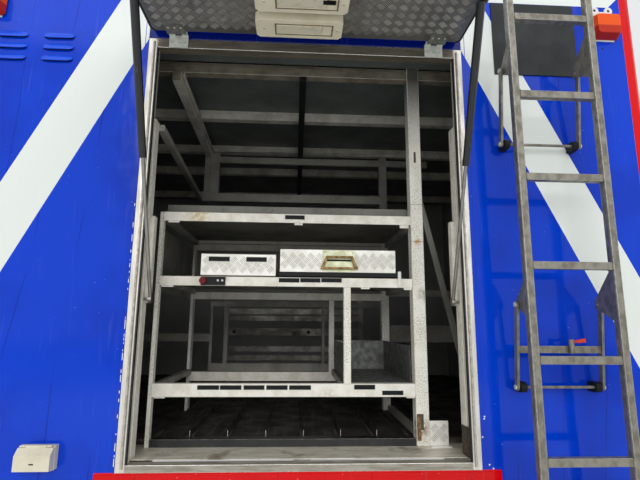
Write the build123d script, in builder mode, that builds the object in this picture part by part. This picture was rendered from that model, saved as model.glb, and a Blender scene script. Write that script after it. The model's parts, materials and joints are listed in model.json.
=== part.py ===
import os
from math import atan2, cos, degrees, hypot, radians, sin

from build123d import *

os.makedirs("parts", exist_ok=True)

# Side locker bay of a car transporter body, in millimetres. X runs along the side wall, Y into the
# body from the hatch, Z up. The origin is the middle of the four subframe bolts, on the underside.

# Body shell
bay_length = 2640
body_width = 2450
body_height = 1970
wall_thick = 40
roof_thick = 40
end_thick = 30
corner_width = 52
corner_round = 24
panel_seam = 1

# Floor
runner_height = 60
runner_width = 80
runner_wall = 6
runner_spacing = 860
bolt_spacing = 1800
bolt_hole = 18
bearer_width = 60
bearer_wall = 4
bearer_pitch = 600
deck_under = 140
deck_thick = 20
deck_rib = 5
rib_width = 10
rib_pitch = 137
deck_setback = 232
sill_plate = 3
nosing_setback = 186
nosing_wall = 4
nosing_height = 28

# Hatch opening and its frame
frame_width = 1200
frame_height = 1535
frame_foot = 110
frame_depth = 42
frame_proud = 2
jamb_face = 31
head_face = 37
sill_face = 24
groove_width = 8
groove_depth = 4
seal_proud = 9

# Hatch, open and level
hinge_out = 30
hinge_rise = 15
hatch_width = 1160
hatch_length = 1536
hatch_core = 27
hatch_round = 22
hinge_edge = 12
lining_thick = 3
lining_inset = 9
leaf_width = 70
leaf_thick = 4
knuckle_radius = 7
pin_radius = 4
hinge_place = 489

# Gas struts
strut_place = 542
strut_top_out = 341
strut_top_drop = 53
strut_foot_in = 50
strut_foot_height = 666
tube_radius = 14
tube_length = 541
rod_radius = 6
rod_length = 539
eye_radius = 13
eye_thick = 12
stud_radius = 5
running_gap = 0.1
channel_inset = 565
channel_depth = 44
channel_wall = 4
channel_top = 1340
foot_bar = (14, 30, 305)

# Locker rack
rack_setback = 180
rack_depth = 610
post_size = 50
post_place = 453
post_height = 1570
upright_width = 15
upright_depth = 30
upright_place = -559.5
rail_depth = 25
rail_wall = 3
mid_post_width = 28
mid_post_place = 170
rear_upright_depth = 50
rear_post_size = 40
rear_post_place = 438
rear_mid_place = 157
side_rail = 25
sheet_thick = 2
lip_height = 44
brace_thick = 10

# Ceiling
ceiling_height = 1667
ceiling_thick = 12
beam_height = 50
beam_width = 40
beam_step = (16, 6)
beam_places = (186, 630, 1110, 1520)
last_beam_inset = 310
ceiling_tube = (35, 40)
tube_ends = (-541, -571)
ceiling_conduit = 10
conduit_step = 25
duct_width = 30
duct_height = 24

# Ladder, folded up against the wall
ladder_place = 868.5
ladder_out = 160
stile_size = 27
stile_corner = 2.5
rung_length = 267
rung_size = 25
rung_pitch = 300
rung_count = 6
lowest_rung = 178
stile_foot = 10
stile_top = 1830
arm_rise = 275
arm_lean = 35
shaft_out = 35
upper_shaft = 1245
lower_shaft = 380
shaft_radius = 5
arm_thick = 8
arm_width = 22
gusset_thick = 5

# Drawers
drawer_depth = 520
drawer_wall = 2
runner_gap = 0.3

near = -body_width / 2
far = body_width / 2
end = bay_length / 2
inner_near = near + wall_thick
inner_far = far - wall_thick
inner_end = end - end_thick
frame_half = frame_width / 2
frame_top = frame_foot + frame_height
clear_half = frame_half - jamb_face
hinge_y = near - hinge_out
hinge_z = frame_top + hinge_rise
rack_front = near + rack_setback
rack_back = rack_front + rack_depth
roof_under = body_height - roof_thick
deck_top = deck_under + deck_thick
frame_y = (near - frame_proud, near - frame_proud + frame_depth)


def block(x, y, z, mode=Mode.ADD):
    """Add or cut a bar that fills three spans."""
    with Locations(((x[0] + x[1]) / 2, (y[0] + y[1]) / 2, (z[0] + z[1]) / 2)):
        Box(x[1] - x[0], y[1] - y[0], z[1] - z[0], mode=mode)


def rod_x(y, z, x, radius, mode=Mode.ADD):
    """Add or cut a round bar along X between two X values."""
    with Locations(Location(((x[0] + x[1]) / 2, y, z), (0, 90, 0))):
        Cylinder(radius, x[1] - x[0], mode=mode)


def level_bar(start, finish, width, z):
    """Add a bar between two points in plan, its ends cut square to Y, that fills a span of heights."""
    half = width / 2
    with BuildSketch(Plane.XY.offset(z[0])) as outline:
        with BuildLine():
            Polyline((start[0] - half, start[1]), (start[0] + half, start[1]),
                     (finish[0] + half, finish[1]), (finish[0] - half, finish[1]), close=True)
        make_face()
    extrude(outline.sketch, amount=z[1] - z[0])


def clear_corners(low, high):
    """Cut away what would run into the four corner posts."""
    for side_x in (-1, 1):
        for side_y in (-1, 1):
            block(sorted((side_x * end, side_x * (end - corner_width))),
                  sorted((side_y * far, side_y * (far - corner_width))), (low, high), Mode.SUBTRACT)


# The side wall is four sandwich panels round the opening, with narrow seams between them.
with BuildPart() as wall_panels:
    for side in (-1, 1):
        span = sorted((side * frame_half, side * (end - corner_width)))
        block(span, (near, inner_near), (0, roof_under))
    seam_half = frame_half - panel_seam
    block((-seam_half, seam_half), (near, inner_near), (frame_top, roof_under))
    block((-seam_half, seam_half), (near, inner_near), (0, frame_foot))
wall_panels.part.label = "wall_panels"
export_step(wall_panels.part, "parts/wall_panels.step")

with BuildPart() as far_wall:
    far_half = end - corner_width
    block((-far_half, far_half), (inner_far, far), (0, roof_under))
far_wall.part.label = "far_wall"
export_step(far_wall.part, "parts/far_wall.step")

with BuildPart() as end_walls:
    for side in (-1, 1):
        span = sorted((side * inner_end, side * end))
        block(span, (near + corner_width, far - corner_width), (0, roof_under))
end_walls.part.label = "end_walls"
export_step(end_walls.part, "parts/end_walls.step")

# Each corner post is an extrusion with one rounded outer edge.
with BuildPart() as corner_posts:
    for side_x in (-1, 1):
        for side_y in (-1, 1):
            with BuildSketch() as corner_section:
                with Locations((side_x * (end - corner_width / 2), side_y * (far - corner_width / 2))):
                    Rectangle(corner_width, corner_width)
                outer = corner_section.vertices().sort_by(lambda v: side_x * v.X + side_y * v.Y)[-1]
                fillet(outer, corner_round)
            extrude(amount=roof_under)
corner_posts.part.label = "corner_posts"
export_step(corner_posts.part, "parts/corner_posts.step")

with BuildPart() as roof_deck:
    with BuildSketch(Plane.XY.offset(roof_under)):
        RectangleRounded(bay_length, body_width, corner_round)
    extrude(amount=roof_thick)
roof_deck.part.label = "roof_deck"
export_step(roof_deck.part, "parts/roof_deck.step")

# Red band below the opening, folded from sheet and fixed over the wall's foot.
band_half = 665
band_thick = 3
band_top = 105
with BuildPart() as sill_band:
    block((-band_half, band_half), (near - band_thick, near), (0, band_top))
sill_band.part.label = "sill_band"
export_step(sill_band.part, "parts/sill_band.step")

# Subframe runners: two channels, open to the inside, with the four bolt holes in their feet.
with BuildPart() as subframe_runners:
    for side in (-1, 1):
        place = side * runner_spacing / 2
        block((-inner_end, inner_end), (place - runner_width / 2, place + runner_width / 2), (0, runner_height))
        hollow = sorted((place - side * runner_width, place + side * (runner_width / 2 - runner_wall)))
        block((-inner_end, inner_end), hollow, (runner_wall, runner_height - runner_wall), Mode.SUBTRACT)
    with Locations(Plane.XY.offset(runner_wall)):
        with GridLocations(bolt_spacing, runner_spacing, 2, 2):
            Hole(bolt_hole / 2, runner_wall)
subframe_runners.part.label = "subframe_runners"
export_step(subframe_runners.part, "parts/subframe_runners.step")

# Cross bearers: channel sections that lie on the runners and carry the deck.
bearer_count = 2 * int((end - corner_width - bearer_width / 2) / bearer_pitch) + 1
with BuildPart() as cross_bearers:
    for index in range(bearer_count):
        place = (index - (bearer_count - 1) / 2) * bearer_pitch
        block(
            (place - bearer_width / 2, place + bearer_width / 2),
            (inner_near, inner_far),
            (runner_height, deck_under - sill_plate),
        )
        block(
            (place - bearer_width / 2 + bearer_wall, place + bearer_width / 2),
            (inner_near, inner_far),
            (runner_height + bearer_wall, deck_under - sill_plate - bearer_wall),
            Mode.SUBTRACT,
        )
cross_bearers.part.label = "cross_bearers"
export_step(cross_bearers.part, "parts/cross_bearers.step")

# Ribbed floor planks run across the body, one rib at each joint. The ribs stop at the posts' feet.
rib_count = int(2 * inner_end / rib_pitch)
rear_right = (476, 523)
rear_y = (near + beam_places[2], near + beam_places[2] + beam_width)
upright_x = (upright_place - upright_width / 2, upright_place + upright_width / 2)
rear_post_x = (rear_post_place - rear_post_size / 2, rear_post_place + rear_post_size / 2)
floor_rail_x = (post_place - side_rail / 2, post_place + side_rail / 2)
feet = (
    (upright_x, (rack_back, rack_back + rear_upright_depth)),
    (rear_post_x, (rack_back, rack_back + rear_post_size)),
    (floor_rail_x, (rack_front + post_size, rack_back)),
    (rear_right, rear_y),
)
with BuildPart() as floor_deck:
    block((-inner_end, inner_end), (near + deck_setback, inner_far), (deck_under - sill_plate, deck_top))
    for index in range(rib_count):
        place = (index - (rib_count - 1) / 2) * rib_pitch
        block(
            (place - rib_width / 2, place + rib_width / 2),
            (near + deck_setback, inner_far),
            (deck_top, deck_top + deck_rib),
        )
    for foot_x, foot_y in feet:
        block(foot_x, foot_y, (deck_top, deck_top + deck_rib), Mode.SUBTRACT)
    clear_corners(deck_under - sill_plate, deck_top + deck_rib)
floor_deck.part.label = "floor_deck"
export_step(floor_deck.part, "parts/floor_deck.step")

with BuildPart() as sill_tread:
    block((-inner_end, inner_end), (frame_y[1], near + deck_setback), (deck_under - sill_plate, deck_under))
    clear_corners(deck_under - sill_plate, deck_under)
sill_tread.part.label = "sill_tread"
export_step(sill_tread.part, "parts/sill_tread.step")

nosing_end = post_place - post_size / 2 - 2
with BuildPart() as floor_nosing:
    nosing_start = upright_place + upright_width / 2 + 2
    block((nosing_start, nosing_end), (near + nosing_setback, near + deck_setback),
          (deck_under, deck_under + nosing_height))
    block((nosing_start, nosing_end), (near + nosing_setback + nosing_wall, near + deck_setback),
          (deck_under, deck_under + nosing_height - nosing_wall), Mode.SUBTRACT)
floor_nosing.part.label = "floor_nosing"
export_step(floor_nosing.part, "parts/floor_nosing.step")

# Frame extrusions with narrow butt joints, and a groove in each jamb's face for the seal.
butt_gap = 0.5
with BuildPart() as hatch_frame:
    for side in (-1, 1):
        span = sorted((side * clear_half, side * frame_half))
        block(span, frame_y, (frame_foot, frame_top))
        groove = side * (clear_half + jamb_face / 3)
        block((groove - groove_width / 2, groove + groove_width / 2), (frame_y[0], frame_y[0] + groove_depth),
              (frame_foot + sill_face / 2, frame_top - head_face / 3), Mode.SUBTRACT)
    rail_half = clear_half - butt_gap
    block((-rail_half, rail_half), frame_y, (frame_top - head_face, frame_top))
    block((-rail_half, rail_half), frame_y, (frame_foot, frame_foot + sill_face))
hatch_frame.part.label = "hatch_frame"
export_step(hatch_frame.part, "parts/hatch_frame.step")

# Rubber seal: one bulb strip in each jamb's groove.
with BuildPart() as frame_seal:
    for side in (-1, 1):
        groove = side * (clear_half + jamb_face / 3)
        with BuildSketch(Plane.XY.offset(frame_foot + sill_face / 2 + 1)):
            with Locations((groove, (frame_y[0] + groove_depth + near - seal_proud) / 2)):
                strip = Rectangle(groove_width, groove_depth + seal_proud - frame_proud)
                chamfer(strip.vertices(), groove_width / 2 - 1)
        extrude(amount=frame_height - sill_face / 2 - head_face / 3 - 2)
frame_seal.part.label = "frame_seal"
export_step(frame_seal.part, "parts/frame_seal.step")

# Hatch: a rounded sandwich panel, lined below with tread plate.
hatch_mid = hinge_y - hinge_edge - hatch_length / 2
lining_z = hinge_z - hinge_rise
with BuildPart() as hatch_panel:
    with BuildSketch(Plane.XY.offset(lining_z + lining_thick)):
        with Locations((0, hatch_mid)):
            RectangleRounded(hatch_width, hatch_length, hatch_round)
    extrude(amount=hatch_core)
hatch_panel.part.label = "hatch_panel"
export_step(hatch_panel.part, "parts/hatch_panel.step")

with BuildPart() as hatch_lining:
    with BuildSketch(Plane.XY.offset(lining_z)):
        with Locations((0, hatch_mid)):
            RectangleRounded(hatch_width - 2 * lining_inset, hatch_length - 2 * lining_inset, hatch_round)
    extrude(amount=lining_thick)
hatch_lining.part.label = "hatch_lining"
export_step(hatch_lining.part, "parts/hatch_lining.step")

# Hinges: the fixed leaf stands on the frame head, the moving leaf lies under the hatch.
third = leaf_width / 3
with BuildPart() as hinge_fixed:
    for place in (-hinge_place, hinge_place):
        leaf_x = (place - leaf_width / 2, place + leaf_width / 2)
        web_z = (hinge_z - knuckle_radius, hinge_z - knuckle_radius + leaf_thick)
        leaf_y = (frame_y[0] - leaf_thick, frame_y[0])
        block(leaf_x, leaf_y, (frame_top - head_face, web_z[1]))
        for low in (place - leaf_width / 2, place + leaf_width / 2 - third + 1):
            piece = (low, low + third - 1)
            block(piece, (hinge_y, leaf_y[0]), web_z)
            rod_x(hinge_y, hinge_z, piece, knuckle_radius)
            rod_x(hinge_y, hinge_z, piece, pin_radius + running_gap, Mode.SUBTRACT)
hinge_fixed.part.label = "hinge_fixed"
export_step(hinge_fixed.part, "parts/hinge_fixed.step")

leaf_reach = 66
with BuildPart() as hinge_moving:
    for place in (-hinge_place, hinge_place):
        leaf_x = (place - leaf_width / 2, place + leaf_width / 2)
        centre = (place - third / 2, place + third / 2)
        web_y = (hinge_y - knuckle_radius - leaf_thick, hinge_y - knuckle_radius)
        block(leaf_x, (hinge_y - leaf_reach, web_y[1]), (lining_z - leaf_thick, lining_z))
        block(centre, web_y, (lining_z - leaf_thick, hinge_z))
        block(centre, (web_y[1], hinge_y), (hinge_z - 2, hinge_z + 2))
        rod_x(hinge_y, hinge_z, centre, knuckle_radius)
        rod_x(hinge_y, hinge_z, leaf_x, pin_radius)
hinge_moving.part.label = "hinge_moving"
export_step(hinge_moving.part, "parts/hinge_moving.step")

# Gas struts. The tube hangs from the hatch's bracket, the rod's eye reaches the stud's plate.
top_y = hinge_y - (strut_top_out - hinge_out)
top_z = hinge_z - strut_top_drop
foot_y = near + strut_foot_in
foot_z = strut_foot_height
strut_run = hypot(foot_y - top_y, foot_z - top_z)
strut_tilt = degrees(atan2(foot_y - top_y, top_z - foot_z))
bracket_gap = 10
bracket_thick = 4
bracket_reach = 50
with BuildPart() as strut_brackets:
    for side in (-1, 1):
        plate = sorted((side * (strut_place + eye_thick / 2 + bracket_gap),
                        side * (strut_place + eye_thick / 2 + bracket_gap + bracket_thick)))
        block(plate, (top_y - bracket_reach / 2, top_y + bracket_reach / 2),
              (top_z - eye_radius, lining_z))
        foot = sorted((side * (strut_place - eye_thick), side * (strut_place + eye_thick / 2 + bracket_gap)))
        block(foot, (top_y - bracket_reach / 2, top_y + bracket_reach / 2), (lining_z - bracket_thick, lining_z))
        pin = sorted((side * (strut_place - eye_thick / 2 - 2), side * (strut_place + eye_thick / 2 + bracket_gap)))
        rod_x(top_y, top_z, pin, stud_radius)
strut_brackets.part.label = "strut_brackets"
export_step(strut_brackets.part, "parts/strut_brackets.step")

for side, name in ((-1, "left"), (1, "right")):
    strut_plane = Plane((side * strut_place, top_y, top_z), x_dir=(1, 0, 0),
                        z_dir=(0, foot_y - top_y, foot_z - top_z))
    with BuildPart(strut_plane) as strut_tube:
        with Locations((0, 0, tube_length / 2)):
            Cylinder(tube_radius, tube_length - 2 * eye_radius)
        with Locations(Location((0, 0, 0), (0, 90, 0))):
            Cylinder(eye_radius, eye_thick)
        with Locations((0, 0, eye_radius)):
            Box(tube_radius, tube_radius, eye_radius)
        with Locations(Location((0, 0, 0), (0, 90, 0))):
            Cylinder(stud_radius + running_gap, 2 * tube_radius, mode=Mode.SUBTRACT)
        bore_start = strut_run - rod_length - 360
        with Locations((0, 0, (bore_start + tube_length) / 2)):
            Cylinder(rod_radius + running_gap, tube_length - bore_start, mode=Mode.SUBTRACT)
    strut_tube.part.label = f"strut_tube_{name}"
    export_step(strut_tube.part, f"parts/strut_tube_{name}.step")

    with BuildPart(strut_plane) as strut_rod:
        with Locations((0, 0, strut_run - rod_length / 2)):
            Cylinder(rod_radius, rod_length)
        with Locations(Location((0, 0, strut_run), (0, 90, 0))):
            Cylinder(eye_radius, eye_thick)
        stud_end = channel_inset - strut_place - runner_gap
        with Locations(Location((side * stud_end / 2, 0, strut_run), (0, 90, 0))):
            Cylinder(stud_radius, stud_end)
    strut_rod.part.label = f"strut_rod_{name}"
    export_step(strut_rod.part, f"parts/strut_rod_{name}.step")

# Channels behind the jambs, which carry the struts' lower studs, and a flat bar behind each stud.
with BuildPart() as jamb_channels:
    for side in (-1, 1):
        span = sorted((side * channel_inset, side * (frame_half - 2)))
        hollow = sorted((side * (channel_inset + channel_wall), side * (frame_half - 2)))
        block(span, (frame_y[1], frame_y[1] + channel_depth), (deck_under, channel_top))
        block(hollow, (frame_y[1] + channel_wall, frame_y[1] + channel_depth - channel_wall),
              (deck_under, channel_top), Mode.SUBTRACT)
        foot_x = sorted((side * (channel_inset - foot_bar[0]), side * channel_inset))
        foot_back = frame_y[1] + channel_depth + eye_thick
        block(foot_x, (foot_back - foot_bar[1], foot_back), (foot_z - eye_thick, foot_z + foot_bar[2]))
jamb_channels.part.label = "jamb_channels"
export_step(jamb_channels.part, "parts/jamb_channels.step")

# Locker rack, welded from bar, angle and tube. Rails: low edge and height, from top to bottom.
rail_rows = ((979, 36), (726, 36), (316, 48))
rear_rows = ((994, 28), (958, 33), (705, 36), (301, 44))
tab_rows = ((0, -535, -492, 6), (0, -40, -7, 8), (0, 384, 420, 13), (1, -545, -500, 6), (1, 224, 259, 6),
            (1, 394, 426, 8), (2, -545, -505, 5), (2, 394, 426, 5))
rail_x = (upright_place + upright_width / 2, post_place - post_size / 2)
rear_x = (rail_x[0], rear_post_x[0])
rear_top = rear_rows[0][0] + rear_rows[0][1]
with BuildPart() as rack_posts:
    block((rail_x[1], rail_x[1] + post_size), (rack_front, rack_front + post_size),
          (deck_under, deck_under + post_height))
    block(upright_x, (rack_front, rack_front + upright_depth), (deck_under, rail_rows[0][0] + rail_rows[0][1]))
    block((mid_post_place - mid_post_width / 2, mid_post_place + mid_post_width / 2),
          (rack_front, rack_front + rail_depth), (rail_rows[2][0] + rail_rows[2][1], rail_rows[1][0]))
    for foot_x, foot_y in feet[:2]:
        block(foot_x, foot_y, (deck_top, rear_top))
    block((rear_mid_place - mid_post_width / 2, rear_mid_place + mid_post_width / 2),
          (rack_back, rack_back + rail_depth), (rear_rows[3][0] + rear_rows[3][1], rear_rows[2][0]))
rack_posts.part.label = "rack_posts"
export_step(rack_posts.part, "parts/rack_posts.step")

# Front rails are angles with a short welded tab below each joint, rear rails are flat bars.
tab_thick = 5
with BuildPart() as rack_rails:
    for low, height in rail_rows:
        block(rail_x, (rack_front, rack_front + rail_depth), (low, low + height))
        block(rail_x, (rack_front + rail_wall, rack_front + rail_depth), (low, low + height - rail_wall),
              Mode.SUBTRACT)
    for row, left, right, drop in tab_rows:
        low = rail_rows[row][0]
        tab_y = (rack_front + rail_wall, rack_front + rail_wall + tab_thick)
        block((left, right), tab_y, (low - drop, low + side_rail))
    for low, height in rear_rows:
        block(rear_x, (rack_back, rack_back + rail_depth), (low, low + height))
rack_rails.part.label = "rack_rails"
export_step(rack_rails.part, "parts/rack_rails.step")

# Side rails run back under the shelves, one more lies on the deck, and a rail runs behind the left jamb.
jamb_rail = ((-558.5, frame_y[1] + channel_depth), (-613, near + beam_places[2]))
rear_rail = (1310, 50)
with BuildPart() as side_rails:
    for low, height in rail_rows:
        top = low + height - rail_wall - sheet_thick
        block((upright_x[0], upright_x[0] + side_rail), (rack_front + upright_depth, rack_back),
              (top - side_rail, top))
        block(floor_rail_x, (rack_front + post_size, rack_back), (top - side_rail, top))
    block((mid_post_place - side_rail / 2, mid_post_place + side_rail / 2), (rack_front + rail_depth, rack_back),
          (top - side_rail, top))
    block(*feet[2], (deck_top, deck_top + side_rail))
    level_bar(*jamb_rail, side_rail, (rear_rail[0], rear_rail[0] + side_rail))
side_rails.part.label = "side_rails"
export_step(side_rails.part, "parts/side_rails.step")

# Shelf sheets. The top one has a lip in front, the low one only reaches under the tray, and a sheet
# closes the rack's left side behind the drawers. A raking stay holds the post's right side.
shelf_x = (upright_place - upright_width / 2 + side_rail / 2, post_place)
shelf_y = (rack_front + post_size + 1, rack_back)
brace_top = (1046, 1150)
brace_foot = (689, 714)
with BuildPart() as shelves:
    for low, height in rail_rows:
        top = low + height - rail_wall - sheet_thick
        left = mid_post_place - side_rail / 2 if low == rail_rows[2][0] else shelf_x[0]
        block((left, shelf_x[1]), shelf_y, (top, top + sheet_thick))
    lip_foot = rail_rows[0][0] + rail_rows[0][1] - rail_wall
    block(shelf_x, (shelf_y[0], shelf_y[0] + sheet_thick), (lip_foot, lip_foot + lip_height))
    block((upright_x[0] - sheet_thick, upright_x[0]), (rack_front + upright_depth, rack_back),
          (rear_rows[2][0], rear_rows[1][0]))
    with BuildSketch(Plane.XZ.offset(-(rack_front + post_size))):
        with BuildLine():
            Polyline((rail_x[1] + post_size, brace_top[0]), (rail_x[1] + post_size, brace_top[1]),
                     (brace_foot[1], deck_under), (brace_foot[0], deck_under), close=True)
        make_face()
    extrude(amount=brace_thick)
shelves.part.label = "shelves"
export_step(shelves.part, "parts/shelves.step")

# Rear frame across the body: goal posts under the third beam, low rails with uprights, and bands that
# run on to the end walls.
rear_left = (-563, -508)
rear_flat = 35
rear_bars = ((-520, -503), (-438, -415), (126, 143))
low_rails = ((317, 44), (678, 30))
band_right = ((483, 98), (747, 39))
band_left = (480, 45)
top_bar = (64, 40)
top_bar_end = 780
band_depth = 20
with BuildPart() as rear_frame:
    band_y = (rear_y[0], rear_y[0] + band_depth)
    under_beam = ceiling_height - beam_height
    rail_top = rear_rail[0] + rear_rail[1]
    block(rear_left, rear_y, (rail_top, under_beam))
    block((rear_left[0] - rear_flat, rear_left[0]), (rear_y[0] + 3, rear_y[1]), (rail_top, under_beam))
    block(rear_right, rear_y, (deck_top, under_beam))
    block((jamb_rail[1][0] - 2, rear_right[0]), band_y, (rear_rail[0], rail_top))
    for low, height in low_rails:
        block((rear_bars[0][0], rear_right[0]), band_y, (low, low + height))
    for span in rear_bars:
        block(span, band_y, (low_rails[0][0] + low_rails[0][1], low_rails[1][0]))
    for low, height in band_right:
        block((rear_right[1], inner_end), band_y, (low, low + height))
    block((-inner_end, rear_bars[0][0]), band_y, (band_left[0], band_left[0] + band_left[1]))
    bar_low = under_beam - top_bar[0]
    block((rear_left[1], rear_right[0]), band_y, (bar_low, bar_low + top_bar[1]))
    block((rear_right[1], top_bar_end), band_y, (bar_low, bar_low + top_bar[1]))
rear_frame.part.label = "rear_frame"
export_step(rear_frame.part, "parts/rear_frame.step")

# Ceiling: stepped beams below a panel, a tube and a conduit along the left, and the cable duct.
last_beam = body_width - last_beam_inset
with BuildPart() as ceiling_beams:
    for setback in (*beam_places, last_beam):
        block((-inner_end, inner_end), (near + setback, near + setback + beam_width),
              (ceiling_height - beam_height, ceiling_height))
        block((-inner_end, inner_end), (near + setback, near + setback + beam_step[1]),
              (ceiling_height - beam_step[0], ceiling_height), Mode.SUBTRACT)
    tube_y = (near + beam_places[0], near + beam_places[2])
    tube_top = ceiling_height - beam_height
    level_bar((tube_ends[0], tube_y[0]), (tube_ends[1], tube_y[1]), ceiling_tube[0],
              (tube_top - ceiling_tube[1], tube_top))
    level_bar((tube_ends[0] + conduit_step, tube_y[0]), (tube_ends[1] + conduit_step, tube_y[1]),
              ceiling_conduit, (tube_top - ceiling_conduit, tube_top))
    block((post_place - post_size / 2, post_place + post_size / 2), (rack_front, rack_front + post_size),
          (ceiling_height - beam_height, ceiling_height), Mode.SUBTRACT)
ceiling_beams.part.label = "ceiling_beams"
export_step(ceiling_beams.part, "parts/ceiling_beams.step")

with BuildPart() as ceiling_panel:
    block((-inner_end, inner_end), (rack_front + post_size, inner_far),
          (ceiling_height, ceiling_height + ceiling_thick))
    clear_corners(ceiling_height, ceiling_height + ceiling_thick)
ceiling_panel.part.label = "ceiling_panel"
export_step(ceiling_panel.part, "parts/ceiling_panel.step")

with BuildPart() as cable_duct:
    block((-duct_width, 0), (near + beam_places[0], near + last_beam),
          (ceiling_height - beam_height - duct_height, ceiling_height - beam_height))
cable_duct.part.label = "cable_duct"
export_step(cable_duct.part, "parts/cable_duct.step")

# Lamps under the hatch: two flat housings with a window each, and a switch block.
lamp_drop = 35
lamp_rows = ((-187, 119, 88, 188), (-181, 128, 226, 326))
window_inset = (72, 28)
with BuildPart() as hatch_lamps:
    for left, right, front, back in lamp_rows:
        with BuildSketch(Plane.XY.offset(lining_z - lamp_drop)):
            with Locations(((left + right) / 2, near - (front + back) / 2)):
                housing = Rectangle(right - left, back - front)
                chamfer(housing.vertices(), 12)
        extrude(amount=lamp_drop)
        with BuildSketch(Plane.XY.offset(lining_z - lamp_drop)):
            with Locations(((left + right) / 2, near - (front + back) / 2)):
                Rectangle(right - left - 2 * window_inset[0], back - front - 2 * window_inset[1])
        extrude(amount=4, mode=Mode.SUBTRACT)
hatch_lamps.part.label = "hatch_lamps"
export_step(hatch_lamps.part, "parts/hatch_lamps.step")

with BuildPart() as hatch_lenses:
    for left, right, front, back in lamp_rows:
        with BuildSketch(Plane.XY.offset(lining_z - lamp_drop - 1)):
            with Locations(((left + right) / 2, near - (front + back) / 2)):
                Rectangle(right - left - 2 * window_inset[0] - 1, back - front - 2 * window_inset[1] - 1)
        extrude(amount=5)
hatch_lenses.part.label = "hatch_lenses"
export_step(hatch_lenses.part, "parts/hatch_lenses.step")

# Ladder: two stiles, square rungs, and a plate behind each stile at the pivots.
stile_centre = rung_length / 2 + stile_size / 2
ladder_y = near - ladder_out
arm_x = stile_centre + 1
arm_inner = arm_x - arm_thick / 2
pivots = (upper_shaft + arm_rise, lower_shaft + arm_rise)
pivot_y = near - shaft_out - arm_lean
with BuildPart() as ladder_stiles:
    for side in (-1, 1):
        with BuildSketch(Plane.XY.offset(stile_foot)):
            with Locations((ladder_place + side * stile_centre, ladder_y)):
                stile = Rectangle(stile_size, stile_size)
                chamfer(stile.vertices(), stile_corner)
        extrude(amount=stile_top - stile_foot)
ladder_stiles.part.label = "ladder_stiles"
export_step(ladder_stiles.part, "parts/ladder_stiles.step")

with BuildPart() as ladder_rungs:
    for index in range(rung_count):
        height = lowest_rung + index * rung_pitch
        block((ladder_place - rung_length / 2, ladder_place + rung_length / 2),
              (ladder_y - rung_size / 2, ladder_y + rung_size / 2), (height - rung_size / 2, height + rung_size / 2))
ladder_rungs.part.label = "ladder_rungs"
export_step(ladder_rungs.part, "parts/ladder_rungs.step")

gusset_above = 110
gusset_below = 55
gusset_nose = 14
gusset_back = ladder_y + stile_size / 2
with BuildPart() as ladder_gussets:
    for side in (-1, 1):
        inner = ladder_place + side * (arm_inner - 2 - gusset_thick / 2)
        for pivot in pivots:
            with BuildSketch(Plane.YZ.offset(inner - gusset_thick / 2)):
                with BuildLine():
                    nose = (pivot - gusset_nose, pivot + gusset_nose)
                    Polyline((gusset_back, pivot - gusset_below), (gusset_back, pivot + gusset_above),
                             (pivot_y + gusset_nose, nose[1]), (pivot_y + gusset_nose, nose[0]),
                             (pivot_y, nose[0]), (gusset_back, pivot - gusset_below))
                make_face()
                with Locations((pivot_y, pivot)):
                    Circle(shaft_radius + running_gap, mode=Mode.SUBTRACT)
            extrude(amount=gusset_thick)
ladder_gussets.part.label = "ladder_gussets"
export_step(ladder_gussets.part, "parts/ladder_gussets.step")

# Bearing blocks on the wall, one pair for each shaft.
block_width = 22
block_height = 34
block_x = arm_inner - 3 - block_width / 2
with BuildPart() as bearing_blocks:
    for shaft in (upper_shaft, lower_shaft):
        for side in (-1, 1):
            with BuildSketch(Plane.YZ.offset(ladder_place + side * block_x - block_width / 2)):
                with BuildLine():
                    Polyline((near - shaft_out, shaft - block_height / 2), (near, shaft - block_height / 2),
                             (near, shaft + block_height / 2), (near - shaft_out, shaft + block_height / 2))
                    ThreePointArc((near - shaft_out, shaft + block_height / 2),
                                  (near - shaft_out - block_height / 2, shaft),
                                  (near - shaft_out, shaft - block_height / 2))
                make_face()
                with Locations((near - shaft_out, shaft)):
                    Circle(shaft_radius + running_gap / 2, mode=Mode.SUBTRACT)
            extrude(amount=block_width)
bearing_blocks.part.label = "bearing_blocks"
export_step(bearing_blocks.part, "parts/bearing_blocks.step")

# Swing arms: two bars on one shaft, with a short pin at each upper end.
cross_rise = 125
arm_run = hypot(arm_lean, arm_rise)
arm_turn = degrees(atan2(arm_lean, arm_rise))
for shaft, name in ((upper_shaft, "upper"), (lower_shaft, "lower")):
    with BuildPart() as swing_arm:
        for side in (-1, 1):
            arm_low = ladder_place + side * arm_x - arm_thick / 2
            arm_face = Plane((arm_low, near - shaft_out, shaft), x_dir=(0, -arm_lean, arm_rise), z_dir=(1, 0, 0))
            with BuildSketch(arm_face):
                with Locations((arm_run / 2, 0)):
                    SlotCenterToCenter(arm_run, arm_width)
            extrude(amount=arm_thick)
            pin = sorted((ladder_place + side * arm_inner,
                          ladder_place + side * (arm_inner - gusset_thick - 5)))
            rod_x(pivot_y, shaft + arm_rise, pin, shaft_radius)
        rod_x(near - shaft_out, shaft, (ladder_place - arm_x, ladder_place + arm_x), shaft_radius)
        if name == "lower":
            lean = cross_rise * arm_lean / arm_rise
            block((ladder_place - arm_inner, ladder_place + arm_inner),
                  (near - shaft_out - lean - 3, near - shaft_out - lean + 3),
                  (shaft + cross_rise - 12, shaft + cross_rise + 12))
    swing_arm.part.label = f"swing_arm_{name}"
    export_step(swing_arm.part, f"parts/swing_arm_{name}.step")

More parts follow.
